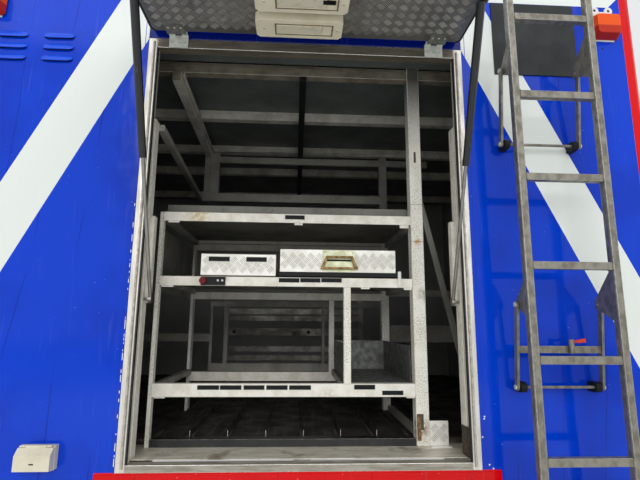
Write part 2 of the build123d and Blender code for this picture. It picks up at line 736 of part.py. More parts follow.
# Lock pin and its lever on the lower arms' cross bar.
lock_place = 905
lock_radius = 9
lock_height = 46
lock_y = near - shaft_out - cross_rise * arm_lean / arm_rise - 3 - lock_radius
lock_foot = lower_shaft + cross_rise - 12
with BuildPart() as lock_pin:
    with Locations((lock_place, lock_y, lock_foot + lock_height / 2)):
        Cylinder(lock_radius, lock_height)
lock_pin.part.label = "lock_pin"
export_step(lock_pin.part, "parts/lock_pin.step")

with BuildPart() as lock_lever:
    block((lock_place + lock_radius, lock_place + 50), (lock_y - 4, lock_y + 4),
          (lock_foot + lock_height - 12, lock_foot + lock_height - 4))
lock_lever.part.label = "lock_lever"
export_step(lock_lever.part, "parts/lock_lever.step")

# Drawers: a folded box behind a tread plate front. Columns: name, left, right, low edge, height.
drawer_rows = (("small", -399, -110, 767, 83), ("large", -94, 362, 784, 89))
front_thick = 3
for name, left, right, low, height in drawer_rows:
    with BuildPart() as drawer:
        wall = drawer_wall
        box_y = (rack_front + front_thick, rack_front + drawer_depth)
        block((left, right), (rack_front, box_y[0]), (low, low + height))
        block((left + wall, right - wall), box_y, (low, low + height - 8))
        block((left + 2 * wall, right - 2 * wall), (box_y[0] + wall, box_y[1] - wall),
              (low + wall, low + height), Mode.SUBTRACT)
    drawer.part.label = f"drawer_{name}"
    export_step(drawer.part, f"parts/drawer_{name}.step")

small_low = drawer_rows[0][3]
with BuildPart() as drawer_base:
    block((drawer_rows[1][1] - 4, drawer_rows[1][2] + 8), (rack_front + 2, rack_front + drawer_depth),
          (small_low, drawer_rows[1][3]))
drawer_base.part.label = "drawer_base"
export_step(drawer_base.part, "parts/drawer_base.step")

# Bail handle on the large drawer: a pressed plate with a pivot bar, and a bent bar hanging from it.
handle_place = 138
handle_plate = (80, 86)
bail_top = 104
bail_foot = 150
bail_rise = 62
bail_drop = 10
bail_bar = 8
bail_out = 12
with BuildPart() as drawer_handle:
    handle_z = drawer_rows[1][3] + 1
    block((handle_place - handle_plate[0] / 2, handle_place + handle_plate[0] / 2), (rack_front - 2, rack_front),
          (handle_z, handle_z + handle_plate[1]))
    bail_plane = Plane((handle_place, rack_front - bail_out + bail_bar / 2, handle_z),
                       x_dir=(1, 0, 0), z_dir=(0, -1, 0))
    with BuildSketch(bail_plane):
        with BuildLine():
            Polyline((-bail_top / 2, bail_rise), (-bail_foot / 2, bail_drop), (bail_foot / 2, bail_drop),
                     (bail_top / 2, bail_rise), close=True)
        make_face()
        with BuildLine(mode=Mode.PRIVATE) as bail_inside:
            top, foot = bail_top / 2 - bail_bar, bail_foot / 2 - 2 * bail_bar
            Polyline((-top, bail_rise - bail_bar), (-foot, bail_drop + bail_bar),
                     (foot, bail_drop + bail_bar), (top, bail_rise - bail_bar), close=True)
        make_face(bail_inside.line.edges(), mode=Mode.SUBTRACT)
    extrude(amount=bail_bar)
    block((handle_place - 34, handle_place + 34), (rack_front - bail_out, rack_front - 1),
          (handle_z + bail_rise - bail_bar, handle_z + bail_rise))
drawer_handle.part.label = "drawer_handle"
export_step(drawer_handle.part, "parts/drawer_handle.step")

runner_thick = small_low - runner_gap - (rail_rows[1][0] + rail_rows[1][1] - rail_wall)
with BuildPart() as drawer_runners:
    runner_foot = rail_rows[1][0] + rail_rows[1][1] - rail_wall
    for name, left, right, low, height in drawer_rows:
        for edge in (left + 4, right - 24):
            block((edge, edge + 20), (rack_front + post_size + 1, rack_back - 10),
                  (runner_foot, runner_foot + runner_thick))
drawer_runners.part.label = "drawer_runners"
export_step(drawer_runners.part, "parts/drawer_runners.step")

# Switch block on the middle rail, with a round knob.
switch_x = (-395, -302)
switch_height = 32
switch_out = 8
knob_place = -386
knob_radius = 13
knob_out = 14
with BuildPart() as switch_block:
    switch_foot = rail_rows[1][0] + 2
    block(switch_x, (rack_front - switch_out, rack_front), (switch_foot, switch_foot + switch_height))
    knob_y = rack_front - switch_out - knob_out / 2
    with Locations(Location((knob_place, knob_y, switch_foot + switch_height / 2), (90, 0, 0))):
        Cylinder(knob_radius, knob_out)
switch_block.part.label = "switch_block"
export_step(switch_block.part, "parts/switch_block.step")

# Side marker lamps: a pale base plate and an amber lens on each side.
marker_x = (1130, 1245)
marker_z = (1698, 1815)
marker_depth = 45
marker_corner = 10
base_thick = 6
with BuildPart() as marker_bases:
    for side in (-1, 1):
        span = sorted((side * (marker_x[0] + 12), side * (marker_x[1] - 12)))
        block(span, (near - base_thick, near), (marker_z[0] - 4, marker_z[1] + 42))
marker_bases.part.label = "marker_bases"
export_step(marker_bases.part, "parts/marker_bases.step")

with BuildPart() as marker_lenses:
    for side in (-1, 1):
        with BuildSketch(Plane.XZ.offset(-near + base_thick)):
            with Locations((side * sum(marker_x) / 2, sum(marker_z) / 2)):
                lens = Rectangle(marker_x[1] - marker_x[0], marker_z[1] - marker_z[0])
                chamfer(lens.vertices(), marker_corner)
        extrude(amount=marker_depth - base_thick)
marker_lenses.part.label = "marker_lenses"
export_step(marker_lenses.part, "parts/marker_lenses.step")

# Pressed air louvres, two groups of three.
louvre_width = 118
louvre_height = 27
louvre_out = 10
louvre_top = 1640
louvre_pitch = 46
louvre_starts = (-1159, -990)
with BuildPart() as louvres:
    for left in louvre_starts:
        for row in range(3):
            height = louvre_top - row * louvre_pitch
            with BuildSketch(Plane.YZ.offset(left)):
                with BuildLine():
                    Polyline((near, height + louvre_height / 2), (near - louvre_out, height - louvre_height / 4),
                             (near - louvre_out, height - louvre_height / 2), (near, height - louvre_height / 2),
                             (near, height + louvre_height / 2))
                make_face()
            extrude(amount=louvre_width)
louvres.part.label = "louvres"
export_step(louvres.part, "parts/louvres.step")

# Cream inlet housing with a hinged lid.
inlet_x = (-892, -780)
inlet_z = (127, 200)
inlet_base = 22
inlet_out = 50
inlet_rim = 8
lid_gap = 0.5
lid_drop = 4
lid_axis = (near - inlet_base - 6, inlet_z[1])
lid_knuckle = 3.5
lid_pin = 1.5
lid_web = 2
with BuildPart() as inlet_housing:
    block(inlet_x, (near - inlet_base, near), inlet_z)
    block((inlet_x[0] + inlet_rim, inlet_x[1] - inlet_rim), (near - inlet_base, near - 6),
          (inlet_z[0] + inlet_rim, inlet_z[1] - inlet_rim), Mode.SUBTRACT)
    for low in (inlet_x[0] + inlet_rim, inlet_x[1] - 3 * inlet_rim):
        piece = (low, low + 2 * inlet_rim)
        block(piece, (lid_axis[0], near - inlet_rim), (lid_axis[1] - lid_web, lid_axis[1]))
        rod_x(*lid_axis, piece, lid_knuckle)
        rod_x(*lid_axis, piece, lid_pin + running_gap, Mode.SUBTRACT)
inlet_housing.part.label = "inlet_housing"
export_step(inlet_housing.part, "parts/inlet_housing.step")

with BuildPart() as inlet_lid:
    lid_back = near - inlet_base - lid_gap
    lid_top = inlet_z[1] - lid_drop
    with BuildSketch(Plane.YZ.offset(inlet_x[0] + 1)):
        with BuildLine():
            Polyline((lid_back, inlet_z[0]), (near - inlet_out, inlet_z[0] + lid_drop),
                     (near - inlet_out, lid_top - 20), (lid_axis[0] - lid_knuckle, lid_top),
                     (lid_back, lid_top), close=True)
        make_face()
    extrude(amount=inlet_x[1] - inlet_x[0] - 2)
    centre = (inlet_x[0] + 3 * inlet_rim + 1, inlet_x[1] - 3 * inlet_rim - 1)
    rod_x(*lid_axis, centre, lid_knuckle)
    block(centre, (lid_axis[0] - lid_knuckle, lid_axis[0] + lid_knuckle), (lid_top - 1, lid_axis[1]))
    rod_x(*lid_axis, (inlet_x[0] + inlet_rim, inlet_x[1] - inlet_rim), lid_pin)
inlet_lid.part.label = "inlet_lid"
export_step(inlet_lid.part, "parts/inlet_lid.step")

# Rubber mat on the wall behind the ladder's head.
mat_width = 337
mat_height = 310
mat_foot = 1547
mat_thick = 6
mat_place = ladder_place + 29
with BuildPart() as rubber_mat:
    block((mat_place - mat_width / 2, mat_place + mat_width / 2), (near - mat_thick, near),
          (mat_foot, mat_foot + mat_height))
rubber_mat.part.label = "rubber_mat"
export_step(rubber_mat.part, "parts/rubber_mat.step")

# Tread plate gusset at the rack post's foot: an upright web on a base plate.
web_width = 72
web_height = 90
web_setback = 4
plate_thick = 4
plate_reach = 24
with BuildPart() as foot_gusset:
    gusset_x = post_place + post_size / 2
    web_y = rack_front + web_setback
    block((gusset_x, gusset_x + web_width), (web_y, web_y + plate_thick), (deck_under, deck_under + web_height))
    block((gusset_x, gusset_x + web_width + plate_thick), (web_y - plate_reach, web_y),
          (deck_under, deck_under + plate_thick))
foot_gusset.part.label = "foot_gusset"
export_step(foot_gusset.part, "parts/foot_gusset.step")

# Open-fronted tray on the lowest shelf.
tray_x = (176, 425)
tray_height = 142
tray_gap = 8
tray_wall = 2
tray_floor = rail_rows[2][0] + rail_rows[2][1] - rail_wall
with BuildPart() as shelf_tray:
    tray_y = (rack_front + post_size + 2, rack_back - tray_gap)
    block(tray_x, tray_y, (tray_floor, tray_floor + tray_height))
    block((tray_x[0] + tray_wall, tray_x[1] - tray_wall), (tray_y[0] - 1, tray_y[1] - tray_wall),
          (tray_floor + tray_wall, tray_floor + tray_height + 1), Mode.SUBTRACT)
shelf_tray.part.label = "shelf_tray"
export_step(shelf_tray.part, "parts/shelf_tray.step")

# Slats of unlike heights on the inside of the far wall, between two posts.
slat_x = (-588, 510)
slat_rows = ((279, 42), (349, 48), (482, 62), (604, 45), (660, 47), (721, 44), (785, 59))
slat_thick = 20
slat_post = 45
with BuildPart() as far_slats:
    for low, height in slat_rows:
        block(slat_x, (inner_far - slat_thick, inner_far), (low, low + height))
    slat_top = slat_rows[-1][0] + slat_rows[-1][1]
    for left in (slat_x[0] - slat_post, slat_x[1]):
        block((left, left + slat_post), (inner_far - slat_thick, inner_far), (deck_top + deck_rib, slat_top))
far_slats.part.label = "far_slats"
export_step(far_slats.part, "parts/far_slats.step")
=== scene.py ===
import json
from math import ceil, cos, pi, radians, sin

import bmesh
import bpy
from mathutils import Matrix, Vector

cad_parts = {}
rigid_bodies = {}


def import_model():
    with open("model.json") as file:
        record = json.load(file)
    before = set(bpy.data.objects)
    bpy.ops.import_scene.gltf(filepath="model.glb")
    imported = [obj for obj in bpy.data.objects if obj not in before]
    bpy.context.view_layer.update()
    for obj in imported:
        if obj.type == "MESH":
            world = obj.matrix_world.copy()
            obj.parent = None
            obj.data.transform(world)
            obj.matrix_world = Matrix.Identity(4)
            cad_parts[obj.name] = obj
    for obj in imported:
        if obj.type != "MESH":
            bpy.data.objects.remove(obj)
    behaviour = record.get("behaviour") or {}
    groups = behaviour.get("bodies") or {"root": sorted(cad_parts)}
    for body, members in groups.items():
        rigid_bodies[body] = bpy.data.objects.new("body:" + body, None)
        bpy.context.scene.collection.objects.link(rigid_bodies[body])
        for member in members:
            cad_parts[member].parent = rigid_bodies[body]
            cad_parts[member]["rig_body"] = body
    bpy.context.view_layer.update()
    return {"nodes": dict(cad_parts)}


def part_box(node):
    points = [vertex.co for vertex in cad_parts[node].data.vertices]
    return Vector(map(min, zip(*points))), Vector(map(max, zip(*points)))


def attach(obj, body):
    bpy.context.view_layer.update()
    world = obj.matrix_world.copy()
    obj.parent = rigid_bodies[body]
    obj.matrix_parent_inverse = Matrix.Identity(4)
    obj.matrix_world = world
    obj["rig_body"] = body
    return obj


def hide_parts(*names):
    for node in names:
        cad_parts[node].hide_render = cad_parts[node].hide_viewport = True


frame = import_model()
scene = bpy.context.scene
scene.view_settings.view_transform = "Standard"

# Camera: it stands 1.6 m in front of the side wall at chest height, turned a little to the right, and
# looks up by about ten degrees.
camera_place = Vector((-0.0330, -2.8358, 0.5854))
heading, tilt, roll = radians(-3.0345), radians(90 + 10.3137), radians(0.4384)
camera_data = bpy.data.cameras.new("camera")
camera_data.lens = 25.867
camera = bpy.data.objects.new("camera", camera_data)
scene.collection.objects.link(camera)
camera.matrix_world = (Matrix.Translation(camera_place) @ Matrix.Rotation(heading, 4, "Z")
                       @ Matrix.Rotation(tilt, 4, "X") @ Matrix.Rotation(roll, 4, "Z"))
scene.camera = camera


# Studio: a pale floor, two wide soft lamps in front, one high and one low, three weak fills at the
# sides and behind, and a bright even room. Camera, mirror and glass rays see the room a little paler
# than the light that it gives.
floor_level = -0.62
floor_half = 30
# Name, place, the point it faces, width, height, watts.
lamp_table = (
    ("softbox", (-1.0, -6.4, 6.6), (0, -1.2, 1.2), 13.0, 3.6, 128),
    ("front_box", (0, -9.0, 3.6), (0, -1.2, 0.9), 6.6, 4.4, 300),
    ("side_fill", (7.5, -2.0, 3.0), (0, 0, 0.8), 4.0, 4.0, 45),
    ("left_fill", (-7.0, -5.0, 1.5), (0, -1.0, 0.8), 3.0, 3.0, 26),
    ("back_fill", (-3.0, 8.0, 5.0), (0, 0, 0.8), 7.0, 4.0, 140),
)


def linear(code):
    """The linear colour of an sRGB hex value, with an alpha of 1."""
    parts = [int(code[place:place + 2], 16) / 255 for place in (0, 2, 4)]
    return [p / 12.92 if p <= 0.04045 else ((p + 0.055) / 1.055) ** 2.4 for p in parts] + [1.0]


def fill(tree, node, inputs):
    """Set a node's inputs. An input takes a number, a hex colour, a socket, or a node's first output."""
    for name, value in inputs.items():
        socket = node.inputs[name] if isinstance(name, int) else next(
            one for one in node.inputs if one.name == name and one.enabled)
        if isinstance(value, bpy.types.Node):
            value = next(one for one in value.outputs if one.enabled)
        if isinstance(value, bpy.types.NodeSocket):
            tree.links.new(value, socket)
        else:
            socket.default_value = linear(value) if socket.type == "RGBA" and isinstance(value, str) else value
    return node


def add(tree, kind, inputs={}, **settings):
    """Add one node with its settings and inputs."""
    made = tree.nodes.new(kind)
    for name, value in settings.items():
        setattr(made, name, value)
    return fill(tree, made, inputs)


def settled(name, shape):
    """The mesh of a finished working shape."""
    mesh = bpy.data.meshes.new(name)
    shape.to_mesh(mesh)
    shape.free()
    return mesh


def finish(name):
    """A new material: its node tree, its shader, and the place on the object that patterns follow."""
    material = bpy.data.materials.new(name)
    material.use_nodes = True
    tree = material.node_tree
    return material, tree, tree.nodes["Principled BSDF"], tree.nodes.new("ShaderNodeTexCoord").outputs["Object"]


floor_shape = bmesh.new()
bmesh.ops.create_grid(floor_shape, x_segments=1, y_segments=1, size=floor_half)
floor_mesh = settled("studio_floor", floor_shape)
floor_mesh.transform(Matrix.Translation((0, 0, floor_level)))
# Matt floor paint: even and pale, with no sheen of its own.
floor_paint, tree, shader, place = finish("matt floor paint")
fill(tree, shader, {"Base Color": "e2e2df", "Roughness": 0.9})
floor_mesh.materials.append(floor_paint)
studio_floor = bpy.data.objects.new("studio_floor", floor_mesh)
scene.collection.objects.link(studio_floor)

for name, place, target, width, height, watts in lamp_table:
    lamp = bpy.data.lights.new(name, "AREA")
    lamp.shape = "RECTANGLE"
    lamp.size, lamp.size_y, lamp.energy = width, height, watts
    holder = bpy.data.objects.new(name, lamp)
    scene.collection.objects.link(holder)
    aim = (Vector(target) - Vector(place)).to_track_quat("-Z", "Y").to_matrix().to_4x4()
    holder.matrix_world = Matrix.Translation(place) @ aim

room = bpy.data.worlds.new("room")
scene.world = room
room.use_nodes = True
tree = room.node_tree
tree.nodes.clear()
rays = add(tree, "ShaderNodeLightPath").outputs
seen = rays["Is Camera Ray"]
for other in ("Is Glossy Ray", "Is Transmission Ray"):
    seen = add(tree, "ShaderNodeMath", {0: seen, 1: rays[other]}, operation="MAXIMUM")
light = add(tree, "ShaderNodeBackground", {"Color": "eaedf0", "Strength": 0.79})
pale = add(tree, "ShaderNodeBackground", {"Color": "eef0f1", "Strength": 0.95})
both = add(tree, "ShaderNodeMixShader", {0: seen, 1: light, 2: pale})
add(tree, "ShaderNodeOutputWorld", {"Surface": both})


# Side walls: sandwich panels, outside in sprayed two-pack gloss with two white bands masked off in a
# V and a white field at the top right, inside in pale grey lining. The coat has flaked along the
# lower edge of the left jamb.
coach_blue = "003bc4"
coach_blue_shade = "0033b4"
coach_red = "d20008"
band_white = "dde2dc"
band_slope = 2.065
band_inner = 1.397
band_outer = 1.590
field_foot = 1.862
field_lean = -0.642
seam_place = 0.614


def patches(tree, place, size, low, high, detail=3.0, stretch=(1, 1, 1)):
    """A mask that is 1 in scattered patches about size millimetres across, where dirt, wear or tone differs."""
    turned = add(tree, "ShaderNodeMapping", {"Vector": place, "Scale": stretch})
    noise = add(tree, "ShaderNodeTexNoise", {"Vector": turned, "Scale": 1000 / size, "Detail": detail,
                                             "Roughness": 0.6})
    return add(tree, "ShaderNodeMapRange", {"Value": noise, "From Min": low, "From Max": high},
               interpolation_type="SMOOTHSTEP")


def painted_bands(tree, place, base):
    """The masked white bands and field, the joint line and cut beside the frame, the painted shade of the hatch
    on the wall above the frame, the red under it, and the flaked edge. Each row holds a colour, a first mask,
    and the tests that limit it: what is tested, the limit, the test and its tolerance."""
    axes = add(tree, "ShaderNodeSeparateXYZ", {0: place}).outputs
    out = add(tree, "ShaderNodeMath", {0: axes["X"]}, operation="ABSOLUTE")
    rise = add(tree, "ShaderNodeMath", {0: axes["Z"], 1: band_slope}, operation="DIVIDE")
    across = add(tree, "ShaderNodeMath", {0: out, 1: rise})
    lean = add(tree, "ShaderNodeMath", {0: axes["X"], 1: axes["Z"]}, operation="SUBTRACT")
    flakes = patches(tree, place, 13, 0.54, 0.57, 1.0, (1, 1, 0.55))
    near = (axes["Y"], 0.0, "LESS_THAN", 0)
    for colour, mask, tests in (
            (band_white, 1.0, ((across, (band_inner + band_outer) / 2, "COMPARE", (band_outer - band_inner) / 2),)),
            (band_white, 1.0, ((axes["Z"], field_foot, "GREATER_THAN", 0), (lean, field_lean, "LESS_THAN", 0),
                               (across, band_inner, "GREATER_THAN", 0), (axes["X"], 0.0, "GREATER_THAN", 0))),
            ("0a32a6", 1.0, ((out, seam_place, "COMPARE", 0.0011), near)),
            ("0a1c5c", 1.0, ((axes["X"], -0.6008, "COMPARE", 0.0008), near)),
            # Painted shade: the hatch's shadow on the wall strip just above the frame.
            ("041a78", 1.0, ((axes["Z"], 1.670, "COMPARE", 0.040), (out, 0.6, "LESS_THAN", 0), near)),
            (coach_red, 1.0, ((axes["Z"], 0.1115, "LESS_THAN", 0), (out, 0.665, "LESS_THAN", 0), near)),
            ("dcdfe2", flakes, ((axes["X"], -0.6044, "COMPARE", 0.0013), (axes["Z"], 1.0, "LESS_THAN", 0), near))):
        for source, limit, test, tolerance in tests:
            part = add(tree, "ShaderNodeMath", {0: source, 1: limit, 2: tolerance}, operation=test)
            mask = add(tree, "ShaderNodeMath", {0: mask, 1: part}, operation="MULTIPLY")
        base = add(tree, "ShaderNodeMix", {"Factor": mask, "A": base, "B": colour}, data_type="RGBA")
    return base


def coach_paint(name, colour, shade, painted_crease_shade="001a78", chip_shade="8fa4dc", masked=None):
    """Two-pack gloss: a deep even colour with wavy mirror reflections, painted shade along thin creases, short pale
    chips and faint drip marks.
    """
    material, tree, shader, place = finish(name)
    base = add(tree, "ShaderNodeMix", {"Factor": patches(tree, place, 450, 0.40, 0.62), "A": colour, "B": shade},
               data_type="RGBA")
    # Painted shade: thin dark leaning lines, as if the panel were creased.
    lean = add(tree, "ShaderNodeMapping", {"Vector": place, "Rotation": (0, radians(-16), 0), "Scale": (1, 1, 0.30)})
    crease_shade_mask = add(tree, "ShaderNodeTexWave", {"Vector": lean, "Scale": 2.1, "Distortion": 3.0, "Detail": 2.0,
                                             "Detail Scale": 1.4})
    crease_shade_mask = add(tree, "ShaderNodeMapRange", {"Value": crease_shade_mask, "From Min": 0.9978, "From Max": 0.9996,
                                              "To Max": 0.55})
    crease_shade_mask = add(tree, "ShaderNodeMath", {0: crease_shade_mask, 1: patches(tree, place, 420, 0.42, 0.56, 1.0)},
                 operation="MULTIPLY")
    drips = add(tree, "ShaderNodeMath", {0: patches(tree, place, 110, 0.60, 0.82, 3.0, (9, 9, 0.5)), 1: 0.08},
                operation="MULTIPLY")
    chips = patches(tree, place, 7, 0.775, 0.79, 1.0, (0.6, 1, 1.3))
    base = add(tree, "ShaderNodeMix", {"Factor": crease_shade_mask, "A": base, "B": painted_crease_shade}, data_type="RGBA")
    if masked:
        base = masked(tree, place, base)
    for mask, tint in ((drips, "9aa3ab"), (chips, chip_shade)):
        base = add(tree, "ShaderNodeMix", {"Factor": mask, "A": base, "B": tint}, data_type="RGBA")
    rough = add(tree, "ShaderNodeMapRange", {"Value": patches(tree, place, 33, 0.35, 0.75), "To Min": 0.06,
                                             "To Max": 0.14})
    flow = add(tree, "ShaderNodeMapping", {"Vector": place, "Scale": (2.2, 2.2, 0.45)})
    wave = add(tree, "ShaderNodeTexNoise", {"Vector": flow, "Scale": 3.0, "Detail": 2.0})
    bump = add(tree, "ShaderNodeBump", {"Height": wave, "Distance": 0.010, "Strength": 0.30})
    fill(tree, shader, {"Base Color": base, "Roughness": rough, "Normal": bump, "IOR": 1.42,
                        "Specular IOR Level": 0.34})
    return material


def coat(name, light, dark, spread, roughness, grain=None, layers=(), sockets={}):
    """A finish in two near tones. spread holds the size, limits, detail and stretch of its patches, roughness one
    value or one for each tone, grain a bump's size, detail, height and strength, and a layer a spread and a
    colour, or a function that gives the mask."""
    material, tree, shader, place = finish(name)
    tone = patches(tree, place, *spread)
    base = add(tree, "ShaderNodeMix", {"Factor": tone, "A": light, "B": dark}, data_type="RGBA")
    for mask, colour in layers:
        mask = mask(tree, place) if callable(mask) else patches(tree, place, *mask)
        base = add(tree, "ShaderNodeMix", {"Factor": mask, "A": base, "B": colour}, data_type="RGBA")
    if isinstance(roughness, tuple):
        roughness = add(tree, "ShaderNodeMapRange", {"Value": tone, "To Min": roughness[0], "To Max": roughness[1]})
    if grain:
        size, detail, height, strength = grain
        noise = add(tree, "ShaderNodeTexNoise", {"Vector": place, "Scale": 1000 / size, "Detail": detail})
        bump = add(tree, "ShaderNodeBump", {"Height": noise, "Distance": height, "Strength": strength})
        fill(tree, shader, {"Normal": bump})
    fill(tree, shader, {"Base Color": base, "Roughness": roughness, **sockets})
    return material


def show(name, mesh, finishes, body, replaces=()):
    """Put a finished mesh in the scene as a piece that rides on a body."""
    piece = bpy.data.objects.new(name, mesh)
    scene.collection.objects.link(piece)
    for one in finishes if isinstance(finishes, (list, tuple)) else [finishes]:
        mesh.materials.append(one)
    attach(piece, body)
    if replaces:
        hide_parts(*replaces)
    return piece


def ease(piece, width, segments=2, worn=False):
    """Round a piece's sharp edges. On a worn piece the rounded edges take the second finish."""
    bevel = piece.modifiers.new("eased edges", "BEVEL")
    bevel.width = width
    bevel.segments = segments
    bevel.limit_method = "ANGLE"
    bevel.angle_limit = radians(35)
    bevel.harden_normals = True
    if worn:
        bevel.material = 1
    return piece


def soften(node, width, finishes, choose=None, segments=2, worn=False):
    """A CAD node's own shape with its edges eased, as real bar, tube and sheet have them. choose picks a
    face's finish from its normal and its middle."""
    source = frame["nodes"][node]
    shape = bmesh.new()
    shape.from_mesh(source.data)
    bmesh.ops.remove_doubles(shape, verts=shape.verts, dist=1e-5)
    bmesh.ops.dissolve_limit(shape, angle_limit=radians(0.5), verts=shape.verts, edges=shape.edges)
    for face in shape.faces:
        face.smooth = True
        face.material_index = choose(face.normal, face.calc_center_median()) if choose else 0
    mesh = settled(node + "_eased", shape)
    if "custom_normal" in mesh.attributes:
        mesh.attributes.remove(mesh.attributes["custom_normal"])
    return ease(show(node + "_eased", mesh, finishes, source["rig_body"], [node]), width, segments, worn)


blue_paint = coach_paint("two-pack gloss paint, blue with white bands", coach_blue, coach_blue_shade,
                         masked=painted_bands)
# Gel coat on glass fibre: a dull even grey with a faint orange peel, under dust.
wall_lining = coat("gel-coated wall lining, dusty grey", "9a9c97", "8a8b85", (260, 0.35, 0.70, 6.0), 0.55,
                   (1000 / 90, 2.0, 0.0006, 0.5))
wall_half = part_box("wall_panels")[0].y
far_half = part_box("far_wall")[1].y
soften("wall_panels", 0.0006, [blue_paint, wall_lining],
       lambda normal, middle: 0 if middle.y < wall_half + 0.001 else 1)
soften("far_wall", 0.0006, [blue_paint, wall_lining],
       lambda normal, middle: 0 if middle.y > far_half - 0.001 else 1)


# Corner posts, red band and roof: extruded corner rails and a folded apron in signal red gloss, and a
# pale rolled-on roof coat, with a row of sealed rivets along each edge of the roof.
red_paint = coach_paint("two-pack gloss paint, signal red", coach_red, "c80006", "96070d", "e0a39c")
soften("corner_posts", 0.0008, [red_paint, wall_lining],
       lambda normal, middle: 0 if normal.x * middle.x > 0.1 or normal.y * middle.y > 0.1 else 1)
soften("sill_band", 0.0008, red_paint)
# Rolled coating: matt and stippled, with rain stains in darker patches.
roof_coat = coat("rolled roof coating, pale grey", "c3c6c5", "b3b6b6", (420, 0.35, 0.75, 4.0), (0.55, 0.75),
                 (4, 2.0, 0.0008, 0.6), (((60, 0.66, 0.95, 7.0), "8b8b82"),))
low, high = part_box("roof_deck")
rivet_rise = 0.0023
roof_top = high.z - rivet_rise - 0.0002
for point in soften("roof_deck", 0.004, roof_coat, segments=3).data.vertices:
    point.co.z = min(point.co.z, roof_top)


def skin(shape, hoops, smooth=True):
    """Join each hoop of points to the next with a ring of faces."""
    for lower, upper in zip(hoops, hoops[1:]):
        for step in range(len(lower)):
            after = (step + 1) % len(lower)
            shape.faces.new((lower[step], lower[after], upper[after], upper[step])).smooth = smooth


def turned(name, rings, sides=10):
    """One small turned or pressed head, standing along Z, from rings of radius and height."""
    shape = bmesh.new()
    hoops = [[shape.verts.new((radius * cos(2 * pi * step / sides), radius * sin(2 * pi * step / sides), height))
              for step in range(sides)] for radius, height in rings]
    skin(shape, hoops, sides > 6)
    shape.faces.new(hoops[-1])
    return bpy.data.objects.new(name, settled(name, shape))


def geometry_tree(name, sizes, output):
    """A new geometry tree with named inputs, and the sockets that they give inside it."""
    tree = bpy.data.node_groups.new(name, "GeometryNodeTree")
    for size, kind in sizes.items():
        tree.interface.new_socket(size, in_out="INPUT", socket_type="NodeSocket" + kind)
    tree.interface.new_socket(output, in_out="OUTPUT", socket_type="NodeSocketGeometry")
    return tree, add(tree, "NodeGroupInput").outputs


def grow(tree, name, sizes, body, places=()):
    """Run a geometry tree once over some places and keep the result as a plain mesh piece."""
    points = bpy.data.meshes.new(name)
    points.from_pydata([tuple(one) for one in places], [], [])
    holder = bpy.data.objects.new(name, points)
    scene.collection.objects.link(holder)
    modifier = holder.modifiers.new("grow", "NODES")
    modifier.node_group = tree
    for item in tree.interface.items_tree:
        if item.item_type == "SOCKET" and item.in_out == "INPUT" and item.name in sizes:
            modifier[item.identifier] = sizes[item.name]
    bpy.context.view_layer.update()
    mesh = bpy.data.meshes.new_from_object(holder.evaluated_get(bpy.context.evaluated_depsgraph_get()))
    mesh.name = name
    mesh.materials.clear()
    bpy.data.objects.remove(holder)
    return show(name, mesh, sizes["Finish"], body)


heads_tree, given = geometry_tree("heads on places", {"Places": "Geometry", "Head": "Object", "Turn": "Vector",
                                                      "Finish": "Material"}, "Heads")
head = add(heads_tree, "GeometryNodeObjectInfo", {"Object": given["Head"]}).outputs["Geometry"]
stood = add(heads_tree, "GeometryNodeInstanceOnPoints", {"Points": given["Places"], "Instance": head,
                                                         "Rotation": given["Turn"]})
real = add(heads_tree, "GeometryNodeRealizeInstances", {"Geometry": stood})
real = add(heads_tree, "GeometryNodeSetMaterial", {"Geometry": real, "Material": given["Finish"]})
add(heads_tree, "NodeGroupOutput", {"Heads": real})

# How a head that stands along Z is turned to face each way.
faces_up = (0, 0, 0)
faces_down = (pi, 0, 0)
faces_out = (pi / 2, 0, 0)
faces_right = (0, pi / 2, 0)
faces_left = (0, -pi / 2, 0)


def fasten(name, head, finish_of, places, turn, body):
    """One head on each place, all facing the same way."""
    return grow(heads_tree, name, {"Head": head, "Turn": turn, "Finish": finish_of}, body, places)


sheet_rivet = turned("sheet_rivet", ((0.0060, 0.0), (0.0055, 0.0011), (0.0034, 0.0020), (0.0012, rivet_rise)), 8)
sealed_rivet = turned("sealed_rivet", ((0.0110, 0.0), (0.0098, 0.0010), (0.0060, 0.0019), (0.0020, rivet_rise)))
roof_rows = [(low.x + 0.03 + step * (high.x - low.x - 0.06) / 20, edge, roof_top)
             for step in range(21) for edge in (low.y + 0.03, high.y - 0.03)]
roof_rows += [(edge, low.y + 0.03 + step * (high.y - low.y - 0.06) / 18, roof_top)
              for step in range(1, 18) for edge in (low.x + 0.03, high.x - 0.03)]


# End walls and subframe: dusty coated bulkhead sheets on galvanised channels, with the spangled dull
# grey that hot zinc leaves. The tray on the low shelf is folded from the same coated sheet.
def bare_metal(name, light, dark, size, roughness, grime=None, grimy=(0.58, 0.78), stretch=(1, 1, 1),
               metallic=0.75):
    """Metal that weather and hands have dulled: patches of two tones, dirt where it stays, and fine pits."""
    material, tree, shader, place = finish(name)
    tone = patches(tree, place, size, 0.36, 0.66, 7.0, stretch)
    base = add(tree, "ShaderNodeMix", {"Factor": tone, "A": light, "B": dark}, data_type="RGBA")
    if grime:
        dirty = patches(tree, place, size * 2.2, *grimy, 8.0)
        base = add(tree, "ShaderNodeMix", {"Factor": dirty, "A": base, "B": grime}, data_type="RGBA")
        metallic = add(tree, "ShaderNodeMath", {0: metallic, 1: dirty}, operation="SUBTRACT", use_clamp=True)
    rough = add(tree, "ShaderNodeMapRange", {"Value": tone, "To Min": roughness, "To Max": roughness + 0.16})
    drawn = add(tree, "ShaderNodeMapping", {"Vector": place, "Scale": stretch})
    grain = add(tree, "ShaderNodeTexNoise", {"Vector": drawn, "Scale": 1000 / 3, "Detail": 3.0})
    bump = add(tree, "ShaderNodeBump", {"Height": grain, "Distance": 0.0003, "Strength": 0.5})
    fill(tree, shader, {"Base Color": base, "Metallic": metallic, "Roughness": rough, "Normal": bump})
    return material


